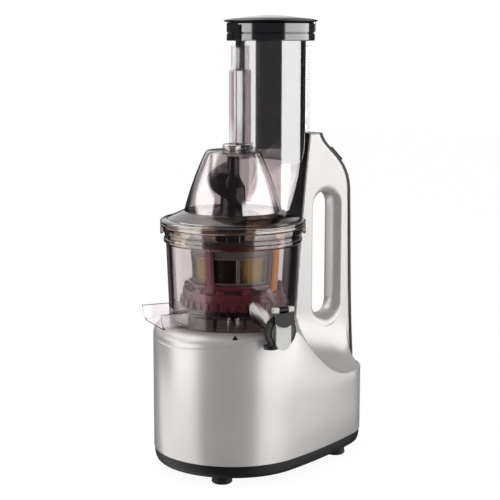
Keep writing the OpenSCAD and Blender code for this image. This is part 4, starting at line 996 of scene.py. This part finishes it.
def hopper_shell():
    """Dome and feed tube as one wall, with the bush's hole and the tube's glass darkened as painted shade."""
    dome = boolean(dome_solid("dome", 0, DOME_Z - 3), "UNION", chute_solid("chute", 0, DOME_Z - 1, TUBE_TOP))
    boolean(dome, "DIFFERENCE", dome_solid("dome_tool", TUBE_T, DOME_Z - 6),
            chute_solid("chute_tool", TUBE_T, DOME_Z + 0.5, TUBE_TOP + 5),
            revolve("bush_tool", rect(0.01, 8, DOME_TOP - 8, DOME_TOP + 4), M_SMOKE_DOME, 48))
    # the feed tube's faces above the chute's foot take the darker glass, painted shade
    for poly in paint(dome, M_SMOKE_DOME, M_SMOKE_TUBE_SHADE).data.polygons:
        c = poly.center / MM
        x, y = c.x - AX, c.y - AY
        on_tube = hypot(x, y - TUBE_Y) < TUBE_R + 0.3 and y > 38
        tube = c.z > DOME_TOP + 0.5 or hypot(x, y) > DOME_R + 0.2 or on_tube
        poly.material_index = 1 if tube and c.z > TUBE_SHADE_FOOT_Z else 0
    return dome


def hopper_turned():
    """What is turned about the axis: the rim with its cone, the skirt over the strainer, the bush's boss."""
    r, z, top = HOP_R, RIM_Z, CONE_Z
    rim = [(DOME_R - 4, DOME_Z - 3), (r - 4, z + 4.6), (r - 4, z + 0.3), (r - 1, z + 0.3), (r, z + 1.5),
           (r, z + 3.4), (r - 0.8, z + 4), (r - 0.8, z + 4.8), (r, z + 5.4), (r, top - 1.5), (r - 1.5, top),
           (r - 7, top + 0.4), (r - 8, top + 1.4), (DOME_R + 3, DOME_Z - 0.5), (DOME_R + 0.1, DOME_Z + 0.5),
           (DOME_R + 0.1, DOME_Z - 2.9)]
    rim_rounding = [0.5, 1, 0.5, 0.6, 0.5, 0.3, 0.3, 0.3, 0.3, 0.7, 0.7, 0.5, 0.5, 1, 0.2, 0.2]
    skirt = [(STRAINER_TOP_R - 3, BASKET_TOP + 0.6), (STRAINER_TOP_R, BASKET_TOP + 0.6),
             (DOME_R - 0.1, DOME_Z - 3.1), (DOME_R - 3, DOME_Z - 3.1)]
    z = DOME_TOP
    boss = [(8, z + 0.05), (11, z + 0.05), (11, z + 6.5), (0.01, z + 6.5), (0.01, z + 4), (8, z + 4)]
    return [revolve("rim", rim, M_SMOKE_RIM, 144, r=rim_rounding),
            revolve("skirt", skirt, M_SMOKE_RIM, 120, r=0.5),
            revolve("boss", boss, M_SMOKE_DOME, 64, r=[0.2, 1.2, 1.4, 0, 0, 0.5])]


def front_channel():
    """The channel up the tube's front, open at its top, with its fin above."""
    front = TUBE_Y - TUBE_R + 0.6
    channel = box("channel", (-6.5, 6.5), (-1, front), (DOME_TOP + 6, CHANNEL_TOP), M_SMOKE_DOME, 1.4)
    slot = box("slot_tool", (-4.3, 4.3), (1.2, 10.2), (DOME_TOP + 8, CHANNEL_TOP + 13), M_SMOKE_DOME)
    fin = box("front_fin", (-3, 3), (-1, front), (CHANNEL_TOP + 0.1, FIN_TOP), M_FIN, 1.0)
    return [boolean(channel, "DIFFERENCE", slot), fin]


def rear_fin():
    """The fin over the column, with the magnet's seat at its foot and grooves down both sides."""
    low, back = COL_TOP + 4, TUBE_Y + TUBE_R
    fin = box("rear_fin", (-3, 3), (back - 0.4, back + 16), (low, FIN_TOP), M_FIN, 0.9)
    tools = [box("magnet_tool", (-2.2, 2.2), (back + 8, back + 13), (low - 1, low + 5), M_FIN)]
    z = FIN_TOP - 12
    while z > low + 22:
        for x in (-3, 3):
            spans = (x - 0.8, x + 0.8), (back + 6.5, back + 13.5), (z - 0.55, z + 0.55)
            tools.append(box("groove_tool", *spans, M_FIN))
        z -= GROOVE_PITCH
    return boolean(fin, "DIFFERENCE", *tools)


def rim_lug(deg):
    """A lug that locks under the bowl's rim."""
    corners = rect(HOP_R - 3.1, HOP_R - 0.2, -7, 7)
    sections = [[turned(deg, r, w, z) for r, w in corners] for z in (RIM_Z - 7.5, RIM_Z + 0.4)]
    return apply_mods(bevel(skin("lug", sections, M_SMOKE_RIM, 40, caps=True), 0.7, 2))


def make_hopper():
    o = join("hopper_shell", hopper_shell(), *hopper_turned(), *front_channel(), rear_fin(),
             *[rim_lug(deg) for deg in LUG_DIRS])
    return put(shade(o, 36), "hopper", "smoke_clear", "hopper")


make_lower_housing()
make_base_rim()
make_mark(make_upper_housing())
make_hopper()
make_spout()
make_bowl()
make_tray()
make_auger()
make_strainer_frame()
make_mesh()
make_cage()
make_wipers()

# the nodes that stay as they were packed have their edges rounded, in mm
EDGES = {"column_front_cover": 0.8, "column_rear_cover": 0.8, "switch_housing": 0.8, "control_switch": 0.5,
         "cap_body": 0.5, "cap_lever": 0.6, "cap_cover": 0.6, "feet": 0.6, "feed_lid": 0.3, "cord_gland": 0.4,
         "lid_hinge_pin": 0.3, "cap_pin": 0.3}
for name, width in EDGES.items():
    bevel(NODE[name], width)


# -------------------- floor, light, camera
FLOOR_WHITE, FLOOR_SHARE = 1.09, 0.86
CAM_YAW, CAM_TILT, CAM_FAR, CAM_Z = 52, 9.05, 1.425, 0.463      # degrees and metres
CAM_LENS, CAM_SHIFT = 97.2, 0.034
LIGHT_TARGET, LIGHT_ALL_ROUND = (0, 0.05, 0.22), 0.34

# What shining surfaces mirror: softboxes and faint strips, in degrees from the camera's side, plus is right.
# Heights are the sine of the elevation.
LEFT_BOX, LEFT_BOX_HIGH, LEFT_BOX_LOW = (-95, -52), (-116, -52), (-130, -56)
RIGHT_BOX, RIGHT_BOX_HIGH, RIGHT_FADE = (36, 115), (24, 115), (56, 105)
UPPER_STRIP, REAR_RIGHT, REAR_LEFT = (-135, -75), (118, 200), (-200, -125)
BOX_HEIGHT, HIGH_BAND, LOW_FADE, CEILING = (-0.8, 0.42), (0.2, 0.42), (-0.08, -0.26), (0.93, 2.0)
UPPER_BAND, REAR_BAND = (0.5, 0.9), (0.12, 0.9)
LOW_DIM, RIGHT_DIM, REAR_RIGHT_SHARE, REAR_LEFT_SHARE, CEILING_SHARE = 0.42, 0.34, 0.11, 0.27, 0.10
BOX_LIGHT, ROOM_DARK = (4.5, 4.5, 4.5, 1), (0.045, 0.045, 0.05, 1)


def make_stage():
    """A white paper floor. Seen directly it is mostly plain white, and the rest keeps the object's shadow."""
    me = bpy.data.meshes.new("floor")
    me.from_pydata([(-4, -4, 0), (4, -4, 0), (4, 4, 0), (-4, 4, 0)], [], [(0, 1, 2, 3)])
    floor = link("floor", me)
    m = Mat("floor_white")
    seen = m.node("LightPath").outputs["Is Camera Ray"]
    pale = m.ramp(m.noise(3.0), [(0.3, (0.86, 0.86, 0.86)), (0.7, (0.9, 0.9, 0.9))])
    paper = m.principled(Base_Color=pale, Roughness=0.7)
    white = m.node("Emission", {"Color": WHITE, "Strength": FLOOR_WHITE})
    share = m.math("MULTIPLY", seen, FLOOR_SHARE)
    me.materials.append(m.done(m.node("MixShader", {0: share, 1: paper.outputs[0], 2: white.outputs[0]})))
    floor.visible_glossy = False


class Studio(Nodes):
    """The world's nodes: what a shining surface mirrors, by direction."""

    def times(self, a, b):
        return self.math("MULTIPLY", a, b)

    def most(self, a, b):
        return self.math("MAXIMUM", a, b)

    def rise(self, v, start, end):
        """From 0 to 1, eased, as v goes from start to end."""
        links = {"Value": v, "From Min": start, "From Max": end}
        return self.node("MapRange", links, interpolation_type="SMOOTHSTEP").outputs[0]

    def band(self, v, limits, soft):
        """1 between the limits, with soft edges."""
        lo, hi = limits
        inside = self.rise(v, lo - soft, lo + soft)
        return self.times(inside, self.math("SUBTRACT", 1.0, self.rise(v, hi - soft, hi + soft)))

    def lights(self):
        """The share of full softbox light in each direction."""
        x, y, z = self.node("SeparateXYZ", {0: self.node("TexCoord").outputs["Generated"]}).outputs
        turn = self.math("SUBTRACT", self.math("ARCTAN2", y, x), radians(CAM_YAW - 90))
        rel = self.node("Math", {0: turn, 1: pi, 2: -pi}, operation="WRAP").outputs[0]

        def sector(limits, soft):
            return self.band(rel, [radians(v) for v in limits], soft)

        low, high = self.rise(z, *LOW_FADE), self.band(z, HIGH_BAND, 0.03)
        tall = self.band(z, BOX_HEIGHT, 0.02)
        left = self.times(sector(LEFT_BOX, 0.03), tall)
        left = self.most(left, self.times(sector(LEFT_BOX_LOW, 0.06), low))
        left = self.most(left, self.times(sector(LEFT_BOX_HIGH, 0.03), high))
        right = self.times(sector(RIGHT_BOX, 0.03), tall)
        right = self.most(right, self.times(sector(RIGHT_BOX_HIGH, 0.03), high))
        # the boxes are dimmer near the floor, most of all at the right one's far end
        aside = self.times(self.rise(rel, *[radians(v) for v in RIGHT_FADE]), RIGHT_DIM)
        dim = self.math("SUBTRACT", 1.0, self.times(low, self.math("ADD", LOW_DIM, aside)))
        upper = self.times(sector(UPPER_STRIP, 0.05), self.band(z, UPPER_BAND, 0.04))
        rear = self.math("ADD", self.times(sector(REAR_RIGHT, 0.1), REAR_RIGHT_SHARE),
                         self.times(sector(REAR_LEFT, 0.1), REAR_LEFT_SHARE))
        faint = self.most(upper, self.times(rear, self.band(z, REAR_BAND, 0.06)))
        faint = self.math("ADD", faint, self.times(self.band(z, CEILING, 0.03), CEILING_SHARE))
        boxes = self.times(self.math("ADD", left, right, clamp=True), dim)
        return self.math("ADD", boxes, faint, clamp=True)


def make_world():
    """White as seen directly or through glass, softboxes in reflections, and even light for all the rest."""
    w = bpy.data.worlds.new("studio")
    bpy.context.scene.world = w
    w.use_nodes = True
    s = Studio(w.node_tree)
    lp = s.node("LightPath").outputs
    mirrored_light = s.node("Mix", {"Factor": s.lights(), "A": ROOM_DARK, "B": BOX_LIGHT}, data_type="RGBA")
    glossy = s.node("Background", {"Color": mirrored_light.outputs["Result"], "Strength": 1.0})
    even = s.node("Background", {"Color": WHITE, "Strength": LIGHT_ALL_ROUND})
    white = s.node("Background", {"Color": WHITE, "Strength": 1.0})
    lit = s.node("MixShader", {0: lp["Is Glossy Ray"], 1: even.outputs[0], 2: glossy.outputs[0]})
    seen = s.most(lp["Is Camera Ray"], lp["Is Transmission Ray"])
    both = s.node("MixShader", {0: seen, 1: lit.outputs[0], 2: white.outputs[0]})
    s.node("OutputWorld", {"Surface": both.outputs[0]})


def area(name, az, el, dist, size, power):
    """A softbox aimed at the object's middle; it lights, and isn't mirrored or seen."""
    li = bpy.data.lights.new(name, "AREA")
    li.shape = "RECTANGLE"
    li.size, li.size_y = size
    li.energy = power
    o = link(name, li)
    a, e = radians(az), radians(el)
    d = Vector((cos(e) * cos(a), cos(e) * sin(a), sin(e)))
    o.location = Vector(LIGHT_TARGET) + d * dist
    o.rotation_euler = d.to_track_quat("Z", "Y").to_euler()
    o.visible_glossy = False
    o.visible_camera = False


def make_camera():
    cam = bpy.data.cameras.new("camera")
    cam.sensor_width = 36
    cam.lens = CAM_LENS
    cam.shift_x = CAM_SHIFT
    cam.clip_end = 50
    o = link("camera", cam)
    yaw = radians(CAM_YAW)
    o.location = (CAM_FAR * sin(yaw) + AX * MM, -CAM_FAR * cos(yaw) + AY * MM, CAM_Z)
    o.rotation_euler = (radians(90 - CAM_TILT), 0, yaw)
    bpy.context.scene.camera = o


make_stage()
make_world()
area("key_right", az=8, el=20, dist=1.6, size=(1.0, 1.4), power=7)
area("key_left", az=-112, el=20, dist=1.6, size=(0.8, 1.4), power=5)
area("top", az=-40, el=80, dist=1.4, size=(1.2, 1.2), power=3)
make_camera()
bpy.context.scene.view_settings.view_transform = "Standard"
bpy.context.scene.cycles.transparent_max_bounces = 32
